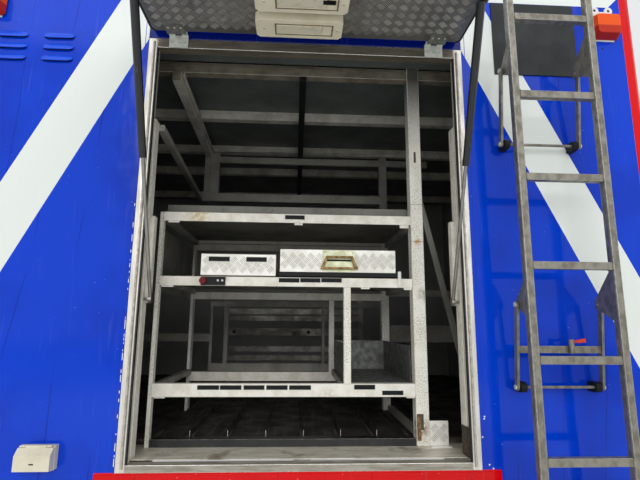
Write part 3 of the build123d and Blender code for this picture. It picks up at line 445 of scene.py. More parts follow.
galvanised = bare_metal("hot-dip galvanised steel", "b0b2af", "888b89", 17, 0.42, "5b564d", (0.62, 0.80))
fasten("roof_rivets", sealed_rivet, roof_coat, roof_rows, faces_up, "bay")
# Coil-coated sheet: a low even sheen, with rain streaks drawn down it.
sheet_grey = coat("coated bulkhead sheet, rain streaked", "b9bcbc", "a6a9a7", (300, 0.40, 0.75, 4.0, (5, 5, 0.45)),
                  0.42)
end_low, end_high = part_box("end_walls")
end_face = end_high.x - rivet_rise - 0.0002
end_piece = soften("end_walls", 0.0008, [sheet_grey, wall_lining],
                   lambda normal, middle: 0 if abs(middle.x) > end_high.x - 0.001 else 1)
for point in end_piece.data.vertices:
    point.co.x = max(-end_face, min(end_face, point.co.x))
for name, edge, turn in (("left", -end_face, faces_left), ("right", end_face, faces_right)):
    rows = [(edge, end_low.y + 0.05 + step * (end_high.y - end_low.y - 0.10) / 22, height)
            for step in range(23) for height in (end_low.z + 0.05, end_high.z - 0.05)]
    rows += [(edge, across, end_low.z + 0.05 + step * (end_high.z - end_low.z - 0.10) / 17)
             for step in range(1, 17) for across in (end_low.y + 0.05, -0.42, 0.42, end_high.y - 0.05)]
    fasten("bulkhead_rivets_" + name, sheet_rivet, galvanised, rows, turn, "bay")
soften("subframe_runners", 0.0015, galvanised)
soften("cross_bearers", 0.0015, galvanised)
soften("shelf_tray", 0.0006, bare_metal("galvanised sheet, dull", "858784", "6b6d6a", 30, 0.5, "504b44"))


# Floor: ribbed aluminium planks with years of road dirt trodden in, thin standing ribs that are bright
# only at their ends, a scuffed sill plate in front, and a folded black nosing over the plank ends.
deck_low, deck_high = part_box("floor_deck")
plank_pitch = 0.137


def rubbed_crest(tree, place):
    """The tops of the low ribs, where boots rub them near the front."""
    axes = add(tree, "ShaderNodeSeparateXYZ", {0: place}).outputs
    crest = add(tree, "ShaderNodeMath", {0: axes["Z"], 1: deck_high.z, 2: 0.0006}, operation="COMPARE")
    front = add(tree, "ShaderNodeMapRange", {"Value": axes["Y"], "From Min": -0.860, "From Max": -0.885})
    return add(tree, "ShaderNodeMath", {0: crest, 1: front}, operation="MULTIPLY")


# Trodden mill aluminium: brown black soil that is matt and gritty, with lighter streaks along the planks as painted
# sheen.
planks = coat("trodden aluminium planks, dirty", "45403a", "25221f", (140, 0.30, 0.62, 9.0), (0.45, 0.75),
              # The stretched lighter layer is painted sheen.
              (5, 6.0, 0.001, 0.6), (((60, 0.50, 0.74, 6.0, (3, 0.15, 3)), "625d55"), (rubbed_crest, "5a554c")),
              {"Metallic": 0.3})
for point in soften("floor_deck", 0.0010, planks).data.vertices:
    if point.co.z > deck_high.z - 0.0055 and abs(point.co.x) < deck_high.x - 0.05:
        point.co.x += plank_pitch / 2

sill_metal = bare_metal("mill aluminium sill, scuffed", "eae4d5", "cdc5b4", 50, 0.38, "8a8170", (0.50, 0.72),
                        (0.5, 1.4, 1), 0.3)
soften("sill_tread", 0.0006, sill_metal)
# Satin brush paint: near black, greyed in patches that hands and straps have rubbed.
black_paint = coat("satin black paint", "17191b", "3a3b3a", (28, 0.55, 0.78, 6.0), (0.34, 0.55),
                   (3, 2.0, 0.0003, 0.4))
rubbed_edge = bare_metal("black paint rubbed through on an edge", "77756d", "4b4a46", 12, 0.40)
soften("floor_nosing", 0.0016, [black_paint, rubbed_edge], worn=True)


# Hatch frame: extruded aluminium rails in mill finish, drawn lengthwise, spotted with white rust and
# rubbed bright on their edges. A black bulb seal is pressed into the groove of each jamb.
frame_metal = bare_metal("extruded aluminium, mill finish", "dfdbd2", "cbc7bc", 34, 0.34, "9c9484", (0.66, 0.88),
                         (3, 3, 0.35), 0.4)
frame_edge = bare_metal("extruded aluminium, rubbed edge", "ece9e2", "d2cec6", 20, 0.25)
frame_across = bare_metal("extruded aluminium, drawn across", "a8a296", "857e71", 34, 0.36, "857b6a", (0.56, 0.80),
                          (0.35, 3, 3), 0.4)
# Painted shade: the head rail is darkened for the hatch's shadow over it, with grime patches on top.
head_shade_and_grime = bare_metal("extruded aluminium, head in painted shade and grime", "7a7365", "5c5648", 60, 0.42, "463f35", (0.50, 0.78),
                        (0.35, 3, 3), 0.3)
frame_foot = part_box("hatch_frame")[0].z
soften("hatch_frame", 0.0018, [frame_metal, frame_edge, frame_across, head_shade_and_grime],
       lambda normal, middle: 3 if middle.z > 1.6 and abs(middle.x) < 0.565 else
       2 if middle.z < frame_foot + 0.026 else 0, worn=True)

# Extruded EPDM: a soft black with a grey bloom. The insert's metal lip shows pale beside it.
seal_rubber = coat("extruded EPDM rubber", "151617", "303131", (40, 0.45, 0.80, 5.0), 0.6)
seal_insert = bare_metal("aluminium insert of the bulb seal", "c3beb4", "a49f94", 18, 0.36, metallic=0.4)
soften("frame_seal", 0.0014, seal_insert)


def slabs(name, spans, finishes, body, width):
    """Small flat parts cut from sheet or moulded, each from its X, Y and Z spans, with eased edges."""
    shape = bmesh.new()
    for x, y, z in spans:
        middle = Vector(((x[0] + x[1]) / 2, (y[0] + y[1]) / 2, (z[0] + z[1]) / 2))
        size = Matrix.Diagonal((x[1] - x[0], y[1] - y[0], z[1] - z[0], 1))
        bmesh.ops.create_cube(shape, size=1, matrix=Matrix.Translation(middle) @ size)
    for face in shape.faces:
        face.smooth = True
    return ease(show(name, settled(name, shape), finishes, body), width)


# A black rubber lip along each jamb's inner edge, a rubber flap that keeps rain off the hinge gap,
# a rusty flat latch on the right channel's foot, and the floor's standing ribs with their bright ends.
frame_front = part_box("hatch_frame")[0].y
clear_half = 0.569
slabs("jamb_lips", [(sorted((side * clear_half, side * (clear_half - 0.0055))),
                     (frame_front - 0.003, frame_front + 0.012), (0.135, 1.607)) for side in (-1, 1)],
      seal_rubber, "bay", 0.0018)
slabs("hinge_flap", [((-0.585, 0.585), (-1.274, wall_half), (1.6815, 1.6845)),
                     ((-0.585, 0.585), (wall_half - 0.003, wall_half), (1.6845, 1.702))], seal_rubber, "bay",
      0.0010)
rusty_steel = bare_metal("rusted mild steel", "8a6a4a", "4d3a2b", 14, 0.6, "a5673a", (0.55, 0.75), metallic=0.3)
latch_steel = bare_metal("blackened steel, rusting", "4c443a", "2f2a25", 12, 0.6, "7c5638", (0.56, 0.75),
                         metallic=0.3)
slabs("jamb_latch", [((0.5620, 0.5685), (-1.213, -1.150), (0.142, 0.240))], latch_steel, "bay",
      0.0015)
rib_places = (-0.4188, -0.2777, -0.1348, 0.0075, 0.1494, 0.2887)
rib_half = 0.0008
rib_rise = (deck_high.z - 0.006, 0.187)
for name, start, stop, rib_finish in (("rib_ends", 0.008, 0.011, sill_metal), ("rib_webs", 0.0112, 0.55, planks)):
    slabs(name, [((x - rib_half, x + rib_half), (deck_low.y + start, deck_low.y + stop), rib_rise)
                 for x in rib_places], rib_finish, "bay", 0.0003)


# Ceiling: zinc coated stepped beams below a dark dusty panel, a tube and a conduit along the left,
# and a black cable duct down the middle.
rack_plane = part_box("rack_rails")[0].y


def painted_steel(name, colour, worn_colour, size, speck=None, rust=None, stains=(), top_shade=None):
    """Thick brushed paint on steel: two tones, dark specks that show the steel, and rust. Each stain has its
    X, Z, reach and colour, and the painted shade at the top its lowest and highest Z, its share and colour."""
    def peppered(tree, place):
        return add(tree, "ShaderNodeMath", {0: patches(tree, place, 5, 0.54, 0.62, 2.0),
                                            1: patches(tree, place, 170, 0.34, 0.58, 4.0)}, operation="MULTIPLY")

    def stained(x, z, reach):
        def mask(tree, place):
            away = add(tree, "ShaderNodeVectorMath", {0: place, 1: (x, rack_plane, z)}, operation="DISTANCE")
            near = add(tree, "ShaderNodeMapRange", {"Value": away.outputs["Value"], "From Min": reach,
                                                    "From Max": reach * 0.3})
            return add(tree, "ShaderNodeMath", {0: near, 1: patches(tree, place, 18, 0.35, 0.60, 6.0)},
                       operation="MULTIPLY")
        return mask

    def shaded_top(tree, place):
        height = add(tree, "ShaderNodeSeparateXYZ", {0: place}).outputs["Z"]
        return add(tree, "ShaderNodeMapRange", {"Value": height, "From Min": top_shade[0], "From Max": top_shade[1],
                                                "To Max": top_shade[2]})

    layers = [(peppered, speck)] if speck else []
    layers += [((95, 0.66, 0.80, 9.0), rust)] if rust else []
    layers += [(stained(x, z, reach), shade) for x, z, reach, shade in stains]
    layers += [(shaded_top, top_shade[3])] if top_shade else []
    return coat(name, colour, worn_colour, (size, 0.35, 0.70, 7.0), (0.42, 0.60), (6, 4.0, 0.0008, 0.5), layers)


beam_zinc = bare_metal("zinc coated beam, dusty", "dedacf", "bab5aa", 90, 0.45, "7d776b", (0.55, 0.80), metallic=0.30)
# Painted highlight: the eased edges of the beams take a lighter finish, a bright line where light catches them.
beam_edge_highlight = bare_metal("zinc coated beam, painted edge highlight", "c9c3b5", "aaa497", 40, 0.40, metallic=0.30)
# The beams nearest the hatch take a darker, browner finish than the deeper ones.
beam_darker_front = bare_metal("zinc coated beam, darker front", "8b8475", "6d6658", 70, 0.50, "544c3f", (0.50, 0.78), metallic=0.25)
panel_grey = painted_steel("dark panel, dusty", "59615f", "474d4b", 240, "6a675c")
# Moulded plastic: a soft black whose shine is dulled by dust.
black_plastic = coat("moulded black plastic, dusty", "141517", "2a2b2d", (33, 0.45, 0.80, 6.0), (0.50, 0.70),
                     sockets={"Specular IOR Level": 0.2})
hatch_side = -0.95
soften("ceiling_beams", 0.0015, [beam_zinc, beam_edge_highlight, beam_darker_front],
       lambda normal, middle: 2 if middle.y < hatch_side else 0, worn=True)
slabs("head_liner", [((-1.285, 1.285), (-1.183, -1.041), (1.6675, 1.6700))], panel_grey, "bay", 0.0005)
soften("ceiling_panel", 0.0010, panel_grey)
soften("cable_duct", 0.0015, black_plastic)


# Locker rack: welded tube, angle and bar under thick white paint that has gone cream and is peppered
# with specks, rubbed grey on the edges, with a bead of weld where each rail meets a post.
# Painted shade: the rack's paint darkens from 1.28 m upward, where the hatch and ceiling shadow it.
painted_top_shade = (1.28, 1.62, 0.92, "2f2f2f")
rust_on_rail = (-0.415, 0.999, 0.060, "cdb48c")
rack_white = painted_steel("white paint on steel, speckled", "eae7dd", "dcd7c9", 150, "a39c8c", "b29c7c",
                           (rust_on_rail, (0.452, 0.912, 0.020, "b98a58"), (0.474, 0.700, 0.04, "a39a88"),
                            (0.440, 0.205, 0.05, "7a5a3a")), painted_top_shade)
rail_white = painted_steel("white paint on steel, brushed smooth", "eae7dd", "d4cebe", 55, None, "b9a98c",
                           (rust_on_rail, (0.10, 0.300, 0.05, "c4bba6")), painted_top_shade)
rack_edge = painted_steel("white paint rubbed to grey on an edge", "dedad0", "b3ae9f", 12)
grey_steel = painted_steel("grey painted steel, dusty", "a3a096", "7f7c73", 180, "6d6a61", "7c6a52")
shelf_steel = painted_steel("dark grey shelf steel, dusty", "6f6d64", "57554d", 180, "4b4942")
soften("rack_posts", 0.0020, [rack_white, rack_edge], worn=True)
for node in ("rack_rails", "jamb_channels"):
    soften(node, 0.0018, [rail_white, rack_edge], worn=True)
soften("side_rails", 0.0012, grey_steel)
soften("shelves", 0.0010, shelf_steel)
soften("rear_frame", 0.0015, grey_steel)

bead = turned("weld_bead", ((0.0014, -0.0020), (0.0028, 0.0), (0.0014, 0.0020), (0.0004, 0.0022)), 7)
rail_spans = ((0.979, 1.015), (0.726, 0.762), (0.316, 0.364))
post_side = 0.428
upright_side = -0.552
mid_post = (0.156, 0.184)
welds = [(side, rack_plane, low + step * 0.0036) for low, high in rail_spans for side in (upright_side, post_side)
         for step in range(int((high - low) / 0.0036) + 1)]
welds += [(mid_post[0] + step * 0.0035, rack_plane, height) for height in (0.364, 0.726) for step in range(9)]
fasten("rack_welds", bead, rack_white, welds, faces_out, "bay")

# Bare black label plates of gloss vinyl with a thin pale edge, in rows along the rails and on the
# small drawer.
label_rows = (
    (-0.079, 0.001, 0.992, 1.011), (-0.098, -0.016, 0.741, 0.760), (-0.015, 0.066, 0.742, 0.761),
    (0.067, 0.149, 0.743, 0.762), (-0.389, -0.307, 0.341, 0.359), (-0.306, -0.225, 0.341, 0.359),
    (-0.219, -0.140, 0.341, 0.359), (-0.135, -0.054, 0.341, 0.359), (-0.050, 0.033, 0.341, 0.359),
    (0.194, 0.275, 0.342, 0.361), (0.300, 0.382, 0.322, 0.340),
)
drawer_labels = ((-0.371, -0.288, 0.820, 0.840), (-0.226, -0.145, 0.820, 0.840))
label_back = coat("printed vinyl, pale border", "c9c8c0", "a9a79d", (14, 0.45, 0.75), 0.4)
label_black = coat("printed vinyl, gloss black", "121315", "1f2022", (18, 0.45, 0.75), 0.5,
                   sockets={"Specular IOR Level": 0.15})
for name, rows, body, face in (("rail", label_rows, "bay", rack_plane),
                               ("drawer", drawer_labels, "small_drawer", rack_plane - 0.0012)):
    slabs(name + "_label_backs", [((a, b), (face - 0.0006, face), (c, d)) for a, b, c, d in rows], label_back,
          body, 0.0002)
    slabs(name + "_labels", [((a + 0.0012, b - 0.0012), (face - 0.0010, face - 0.0006), (c + 0.0012, d - 0.0012))
                             for a, b, c, d in rows], label_black, body, 0.0002)

# The post's bolted joint, a rusty packing strip near its foot, and its slots, as dark as a gap looks.
post_marks = coat("shadow in a joint", "3a3832", "57503f", (6, 0.4, 0.6), 0.8)
for name, spans, raised, marks, width in (
        ("post_joint_lines", (((0.4295, 0.4765), (1.0645, 1.0657)), ((0.4295, 0.4765), (0.9120, 0.9132))), 0.0002,
         post_marks, 0.0001),
        ("post_packing", (((0.4305, 0.4450), (0.160, 0.255)),), 0.0015, rusty_steel, 0.0005),
        ("post_slots", (((0.4450, 0.4560), (0.198, 0.255)), ((0.448, 0.457), (1.243, 1.290))), 0.0003,
         post_marks, 0.0001)):
    slabs(name, [(across, (rack_plane - raised, rack_plane), up) for across, up in spans], marks, "bay",
          width)


# Far wall slats: mill aluminium boards of unlike heights between two posts, pale and dull, with two
# round holes drawn as flat discs of painted shadow.
far_metal = bare_metal("mill aluminium slats", "bdbab1", "9b978c", 80, 0.40, "6d695e", metallic=0.5)
soften("far_slats", 0.0015, far_metal)
hole_disc = turned("hole_disc", ((0.014, 0.0), (0.013, 0.0004)), 20)
slat_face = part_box("far_slats")[0].y
fasten("far_slat_holes", hole_disc, post_marks, [(-0.544, slat_face, 0.513), (0.087, slat_face, 0.513)],
       faces_out, "bay")


# Drawers: folded tread plate, nearly white, on a black tray, its raised bars greyer in painted shade. The
# plate's raised bars stand in groups of five that turn from cell to cell.
bright_tread = bare_metal("aluminium tread plate, bright", "eceae3", "dfdcd2", 110, 0.36, "c9c0ab", (0.62, 0.85),
                          metallic=0.2)
# Painted shade: the bars are greyer than the plate, for the shadow lines along them.
bars_in_painted_shade = bare_metal("tread plate bars, painted shade", "b2afa7", "96938b", 30, 0.34, metallic=0.25)
for node in ("drawer_small", "drawer_large", "foot_gusset"):
    soften(node, 0.0010, bright_tread)


def tread_bar(name, length, width, height):
    """One raised bar of tread plate: pointed at both ends, with a rolled crest."""
    shape = bmesh.new()
    half, side = length / 2, width / 2
    foot = [shape.verts.new((x, y, 0)) for x, y in (
        (-half, 0), (-half * 0.7, -side), (half * 0.7, -side), (half, 0), (half * 0.7, side), (-half * 0.7, side))]
    rear, front = shape.verts.new((-half * 0.66, 0, height)), shape.verts.new((half * 0.66, 0, height))
    for corners in ((foot[5], foot[0], rear), (foot[0], foot[1], rear), (foot[1], foot[2], front, rear),
                    (foot[2], foot[3], front), (foot[3], foot[4], front), (foot[4], foot[5], rear, front)):
        shape.faces.new(corners)
    return bpy.data.objects.new(name, settled(name, shape))


# Groups of five bars stand on a square grid that is turned by 45 degrees, and every other group is
# turned by 90 degrees, so the groups weave. Groups that would pass the sheet's edge are left out.
tread_tree, given = geometry_tree("tread plate", {
    "Count": "Int", "Side": "Float", "Half Width": "Float", "Half Length": "Float", "First": "Vector",
    "Step": "Vector", "Bar": "Object", "Finish": "Material"}, "Bars")
tree = tread_tree
grid = add(tree, "GeometryNodeMeshGrid", {"Size X": given["Side"], "Size Y": given["Side"],
                                          "Vertices X": given["Count"], "Vertices Y": given["Count"]})
index = add(tree, "GeometryNodeInputIndex")
column = add(tree, "ShaderNodeMath", {0: index, 1: given["Count"]}, operation="DIVIDE")
column = add(tree, "ShaderNodeMath", {0: column}, operation="FLOOR")
row = add(tree, "ShaderNodeMath", {0: index, 1: given["Count"]}, operation="FLOORED_MODULO")
odd = add(tree, "ShaderNodeMath", {0: column, 1: row})
odd = add(tree, "ShaderNodeMath", {0: odd, 1: 2.0}, operation="FLOORED_MODULO")
turn = add(tree, "ShaderNodeMapRange", {"Value": odd, "To Min": radians(45), "To Max": radians(135)})
grid = add(tree, "GeometryNodeStoreNamedAttribute", {"Geometry": grid, "Name": "turn", "Value": turn},
           data_type="FLOAT", domain="POINT")
grid = add(tree, "GeometryNodeTransform", {"Geometry": grid, "Rotation": (0, 0, radians(45))})
spot = add(tree, "ShaderNodeSeparateXYZ", {0: add(tree, "GeometryNodeInputPosition")}).outputs
beyond = 0.0
for axis, reach in (("X", "Half Width"), ("Y", "Half Length")):
    far = add(tree, "ShaderNodeMath", {0: spot[axis]}, operation="ABSOLUTE")
    far = add(tree, "ShaderNodeMath", {0: far, 1: given[reach]}, operation="GREATER_THAN")
    beyond = add(tree, "ShaderNodeMath", {0: beyond, 1: far}, operation="MAXIMUM")
grid = add(tree, "GeometryNodeDeleteGeometry", {"Geometry": grid, "Selection": beyond}, domain="POINT")
line = add(tree, "GeometryNodeMeshLine", {"Count": 5, "Offset": given["Step"], "Start Location": given["First"]})
bar = add(tree, "GeometryNodeObjectInfo", {"Object": given["Bar"]}).outputs["Geometry"]
group = add(tree, "GeometryNodeInstanceOnPoints", {"Points": line, "Instance": bar})
kept = add(tree, "GeometryNodeInputNamedAttribute", {"Name": "turn"}, data_type="FLOAT")
cells = add(tree, "GeometryNodeInstanceOnPoints", {"Points": grid, "Instance": group,
                                                   "Rotation": add(tree, "ShaderNodeCombineXYZ", {"Z": kept})})
real = add(tree, "GeometryNodeRealizeInstances", {"Geometry": cells})
real = add(tree, "GeometryNodeSetMaterial", {"Geometry": real, "Material": given["Finish"]})
add(tree, "NodeGroupOutput", {"Bars": real})


def tread(name, width, length, pitch, gap, bar, finish_of, body, placing):
    """Raised tread bars over a sheet that spans width by length, laid where the placing matrix puts them."""
    count = ceil((width + length) * 0.7072 / pitch)
    piece = grow(tread_tree, name, {
        "Count": count, "Side": (count - 1) * pitch, "Half Width": width / 2 - 0.6 * pitch,
        "Half Length": length / 2 - 0.6 * pitch, "First": (0.0, -2 * gap, 0.0), "Step": (0.0, gap, 0.0), "Bar": bar,
        "Finish": finish_of}, body)
    piece.data.transform(placing)


fine_bar = tread_bar("fine_tread_bar", 0.0228, 0.0019, 0.0014)
# Name, body, X span, Z span and the face that the bars stand on.
for name, body, across, up, face in (
        ("small_drawer_bars", "small_drawer", (-0.399, -0.110), (0.767, 0.850), rack_plane),
        ("large_drawer_bars", "large_drawer", (-0.094, 0.362), (0.784, 0.873), rack_plane),
        ("foot_gusset_bars", "bay", (0.478, 0.550), (0.144, 0.230), rack_plane + 0.004)):
    middle = Vector((sum(across) / 2, face, sum(up) / 2))
    tread(name, across[1] - across[0], up[1] - up[0], 0.0250, 0.0052, fine_bar, bars_in_painted_shade, body,
          Matrix.Translation(middle) @ Matrix.Rotation(pi / 2, 4, "X"))

# Bail handle of yellow passivated steel on a screwed plate, with a worn brown bar.
zinc_yellow = bare_metal("yellow passivated zinc", "dcdfc2", "cccea8", 22, 0.38, "8a6a38", (0.62, 0.82), metallic=0.3)
pan_head = turned("pan_head", ((0.0044, 0.0), (0.0042, 0.0014), (0.0030, 0.0023), (0.0014, 0.0023), (0.0011, 0.0012)))
bail_brown = bare_metal("yellow zinc worn to brown", "9a7a42", "5e4a2c", 12, 0.42, metallic=0.5)
soften("drawer_handle", 0.0026, [zinc_yellow, bail_brown],
       lambda normal, middle: 1 if middle.y < rack_plane - 0.0045 else 0, segments=3)
plate_face = rack_plane - 0.0016
slabs("handle_plate", [((0.072, 0.201), (plate_face, rack_plane), (0.7865, 0.8715))], zinc_yellow,
      "large_drawer", 0.0008)
# A dark bar across the plate, under the top of the bail.
slabs("handle_hinge_rod", [((0.088, 0.186), (rack_plane - 0.0030, plate_face), (0.8270, 0.8345))], black_plastic,
      "large_drawer", 0.0006)
fasten("handle_screws", pan_head, zinc_yellow, [(x, plate_face, z) for x in (0.081, 0.192) for z in (0.795, 0.863)],
       faces_out, "large_drawer")
for node in ("drawer_base", "drawer_runners"):
    soften(node, 0.0015, black_plastic)
# Moulded white plastic: an even satin, a little yellow where it is handled.
white_plastic = coat("moulded white plastic", "dcdcd6", "bdbbb1", (50, 0.45, 0.80, 6.0), 0.45)
slabs("drawer_hook", [((0.3700, 0.3830), (rack_plane - 0.005, rack_plane), (0.7275, 0.7900)),
                      ((0.3700, 0.3830), (rack_plane, rack_plane + 0.020), (0.7600, 0.7640))], white_plastic, "bay",
      0.0012)

# Switch block on the middle rail: black moulding, a dark red knob and two white caps.
knob_red = coat("moulded dark red plastic", "6b1214", "3f0d0e", (10, 0.45, 0.75), 0.5,
                sockets={"Specular IOR Level": 0.2})
block_face = rack_plane - 0.008
soften("switch_block", 0.0018, [black_plastic, knob_red],
       lambda normal, middle: 1 if middle.y < block_face - 0.0005 else 0, segments=3)
cap = turned("cap", ((0.0046, 0.0), (0.0044, 0.0020), (0.0030, 0.0034), (0.0010, 0.0038)), 14)
fasten("switch_caps", cap, white_plastic, [(-0.3300, block_face, 0.7460), (-0.3130, block_face, 0.7460)], faces_out,
       "bay")


# Hatch: a painted sandwich panel, lined below with dusty tread plate, with a black rubber edge strip
# on three sides of the lining and zinc plated hinges and brackets screwed and riveted through it.
hatch_paint = coach_paint("two-pack gloss paint, hatch", coach_blue, coach_blue_shade)
soften("hatch_panel", 0.004, hatch_paint, segments=3)
dusty_tread = bare_metal("aluminium tread plate, dusty", "7b7a74", "65645f", 160, 0.40, "58564f", (0.45, 0.75),
                         metallic=0.6)
# Painted highlight: the bars are lighter than the plate, for light on their crests.
bars_painted_highlight = bare_metal("tread plate bars, painted highlight", "b3b1a9", "93918a", 50, 0.28, metallic=0.6)
soften("hatch_lining", 0.0008, dusty_tread)
low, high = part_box("hatch_lining")
centre = (low + high) / 2
tread("hatch_tread_bars", high.x - low.x - 0.012, high.y - low.y - 0.012, 0.0283, 0.0061,
      tread_bar("tread_bar", 0.0262, 0.0019, 0.0015), bars_painted_highlight, "hatch",
      Matrix.Translation((centre.x, centre.y, low.z)) @ Matrix.Rotation(pi, 4, "X"))

edge_inset = 0.0045
edge_half = 0.0040
edge_drop = 0.0035
edge_round = 0.018
edge_profile = ((-edge_half, -0.0005), (-edge_half, edge_drop * 0.5), (-edge_half * 0.4, edge_drop),
                (edge_half * 0.4, edge_drop), (edge_half, edge_drop * 0.5), (edge_half, -0.0005))
low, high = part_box("hatch_panel")
shape = bmesh.new()
hoops = []
# From the corner left of the hinges, round the free edge, to the corner right of them.
for corner_x, corner_y, start in ((low.x, high.y, 90), (low.x, low.y, 180), (high.x, low.y, 270), (high.x, high.y, 0)):
    hub = Vector((corner_x - (edge_round + edge_inset if corner_x > 0 else -edge_round - edge_inset),
                  corner_y - (edge_round + edge_inset if start < 180 else -edge_round - edge_inset), 0))
    for step in range(7):
        angle = radians(start + step * 15)
        way = Vector((cos(angle), sin(angle), 0))
        hoops.append([shape.verts.new(hub + way * (edge_round + across) + Vector((0, 0, low.z - drop)))
                      for across, drop in edge_profile])
skin(shape, hoops)
for end in (0, -1):
    shape.faces.new(hoops[end])
bmesh.ops.recalc_face_normals(shape, faces=shape.faces)
show("hatch_edge_strip", settled("hatch_edge_strip", shape), seal_rubber, "hatch")

zinc_plate = bare_metal("zinc plated steel, dulled", "d6d8cc", "b9bcae", 22, 0.40, "8f8a78", (0.62, 0.82),
                        metallic=0.35)
clean_zinc = bare_metal("zinc plated steel, clean", "e6e9df", "cfd2c6", 22, 0.42, metallic=0.15)
dull_zinc = bare_metal("zinc plated steel, grimy", "8f9189", "74766e", 18, 0.45, "5a564a", (0.55, 0.80), metallic=0.5)
for node, zinc in (("hinge_fixed", clean_zinc), ("hinge_moving", dull_zinc), ("strut_brackets", dull_zinc)):
    soften(node, 0.0008, zinc)
rivet = turned("rivet", ((0.0048, 0.0), (0.0044, 0.0012), (0.0030, 0.0021), (0.0010, 0.0025)))
hinge_rows = [place + step for place in (-0.489, 0.489) for step in (-0.023, 0.0, 0.023)]
lining_face = 1.641
fasten("hinge_screws", pan_head, zinc_plate, [(x, frame_front - 0.004, 1.626) for x in hinge_rows], faces_out, "bay")
fasten("hinge_leaf_screws", pan_head, zinc_plate, [(x, -1.300, lining_face) for x in hinge_rows], faces_down, "hatch")
fasten("bracket_rivets", rivet, zinc_plate, [(x, y, lining_face) for x in (-0.5405, 0.5405)
                                             for y in (-1.585, -1.547)], faces_down, "hatch")


# Gas struts: a painted tube with a plated rod, each with a forged eye on its stud. The left tube
# carries a bare cream sticker.
# Ground and plated rod: a soft sheen of bare metal, dulled by a film of oil and dust.
rod_steel = coat("ground and plated rod", "9d9a93", "7c7870", (25, 0.4, 0.7, 3.0, (1, 1, 0.2)), (0.30, 0.45),
                 sockets={"Metallic": 1.0})
strut_radius = 0.0119
strut_side = Vector((0.542, 0, 0))
strut_head = Vector((0, -1.566, 1.607))
strut_way = (Vector((0, -1.175, 0.666)) - strut_head).normalized()
for name, side in (("left", -strut_side), ("right", strut_side)):
    for point in soften("strut_tube_" + name, 0.0012, black_paint).data.vertices:
        reach = point.co - strut_head - side
        along = strut_way * reach.dot(strut_way)
        across = reach - along
        if 0.0125 < across.length < 0.0145 and along.length > 0.016:
            point.co = strut_head + side + along + across.normalized() * strut_radius
    soften("strut_rod_" + name, 0.0008, rod_steel)

# Vinyl wrapped round the left tube: cream, browned by hands.
sticker_vinyl = coat("printed vinyl, bare cream", "c9c3a4", "8d8668", (12, 0.50, 0.75, 5.0), 0.4)
outward = Vector((1, 0, 0))
aside = strut_way.cross(outward).normalized()
shape = bmesh.new()
skin(shape, [[shape.verts.new(strut_head - strut_side + strut_way * along + (
    outward * cos(2 * pi * step / 32) + aside * sin(2 * pi * step / 32)) * radius) for step in range(32)]
             for along, radius in ((0.278, 0.0118), (0.278, 0.0122), (0.362, 0.0122), (0.362, 0.0118))])
bmesh.ops.recalc_face_normals(shape, faces=shape.faces)
show("strut_sticker", settled("strut_sticker", shape), sticker_vinyl, "strut_tube_left")


# Hatch lamps: cream moulded housings, each with a ribbed frosted window and a screw at either end,
# and a small black switch on the rear one.
# Moulded plastic: warm cream and satin, yellowed in patches. The window is frosted, so it only glows a little.
cream_plastic = coat("moulded cream plastic", "f8f0d4", "e6dcbb", (80, 0.40, 0.75, 5.0), (0.32, 0.50),
                     (2, 2.0, 0.0002, 0.4))
lens_clear = coat("frosted clear acrylic", "f1ead2", "ddd3b5", (30, 0.45, 0.75), 0.22,
                  sockets={"Transmission Weight": 0.05})
soften("hatch_lamps", 0.006, cream_plastic, segments=3)
soften("hatch_lenses", 0.001, lens_clear)
lamp_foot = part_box("hatch_lamps")[0].z
# Left, right, front and back of each housing.
lamps = ((-0.187, 0.119, -1.413, -1.313), (-0.181, 0.128, -1.551, -1.451))
slabs("lens_ribs", [((left + 0.078 + step * 0.0068, left + 0.0805 + step * 0.0068), (front + 0.030, back - 0.030),
                     (lamp_foot - 0.0016, lamp_foot - 0.0008)) for left, right, front, back in lamps
                    for step in range(23)], lens_clear, "hatch", 0.0003)
window_line = bare_metal("shadowed groove round a window", "8d7f5f", "73674c", 10, 0.6, metallic=0.0)
groove_up = (lamp_foot - 0.0014, lamp_foot - 0.0004)
slabs("window_lines", [(across, along, groove_up) for left, right, front, back in lamps for across, along in (
    ((left + 0.070, right - 0.034), (front + 0.0200, front + 0.0240)),
    ((left + 0.070, right - 0.034), (back - 0.0240, back - 0.0200)),
    ((left + 0.067, left + 0.0720), (front + 0.0200, back - 0.0200)),
    ((right - 0.0390, right - 0.034), (front + 0.0200, back - 0.0200)))], window_line, "hatch", 0.0002)
fasten("lamp_screws", pan_head, zinc_plate, [(x, (front + back) / 2, lamp_foot) for left, right, front, back in lamps
                                             for x in (left + 0.030, right - 0.018)], faces_down, "hatch")
slabs("lamp_switch", [((0.042, 0.084), (-1.521, -1.502), (lamp_foot - 0.004, lamp_foot))], black_plastic, "hatch",
      0.0015)


# Ladder: weathered galvanised tube, mottled and stained brown, with square rungs welded in between
# its stiles. Two swing arms carry it on shafts that turn in black blocks, with a red locking lever.
ladder_steel = bare_metal("weathered galvanised tube", "8d897e", "6c685d", 26, 0.40, "665d4c", (0.58, 0.82),
                          (1, 1, 0.7), 0.45)
ladder_edge = bare_metal("galvanised tube, rubbed edge", "a3a19a", "84827a", 14, 0.36, metallic=0.5)
for node in ("ladder_stiles", "ladder_rungs", "ladder_gussets", "swing_arm_upper", "swing_arm_lower", "lock_pin"):
    soften(node, 0.0020 if node == "ladder_stiles" else 0.0016, [ladder_steel, ladder_edge], worn=True)
soften("bearing_blocks", 0.0020, black_plastic, segments=3)

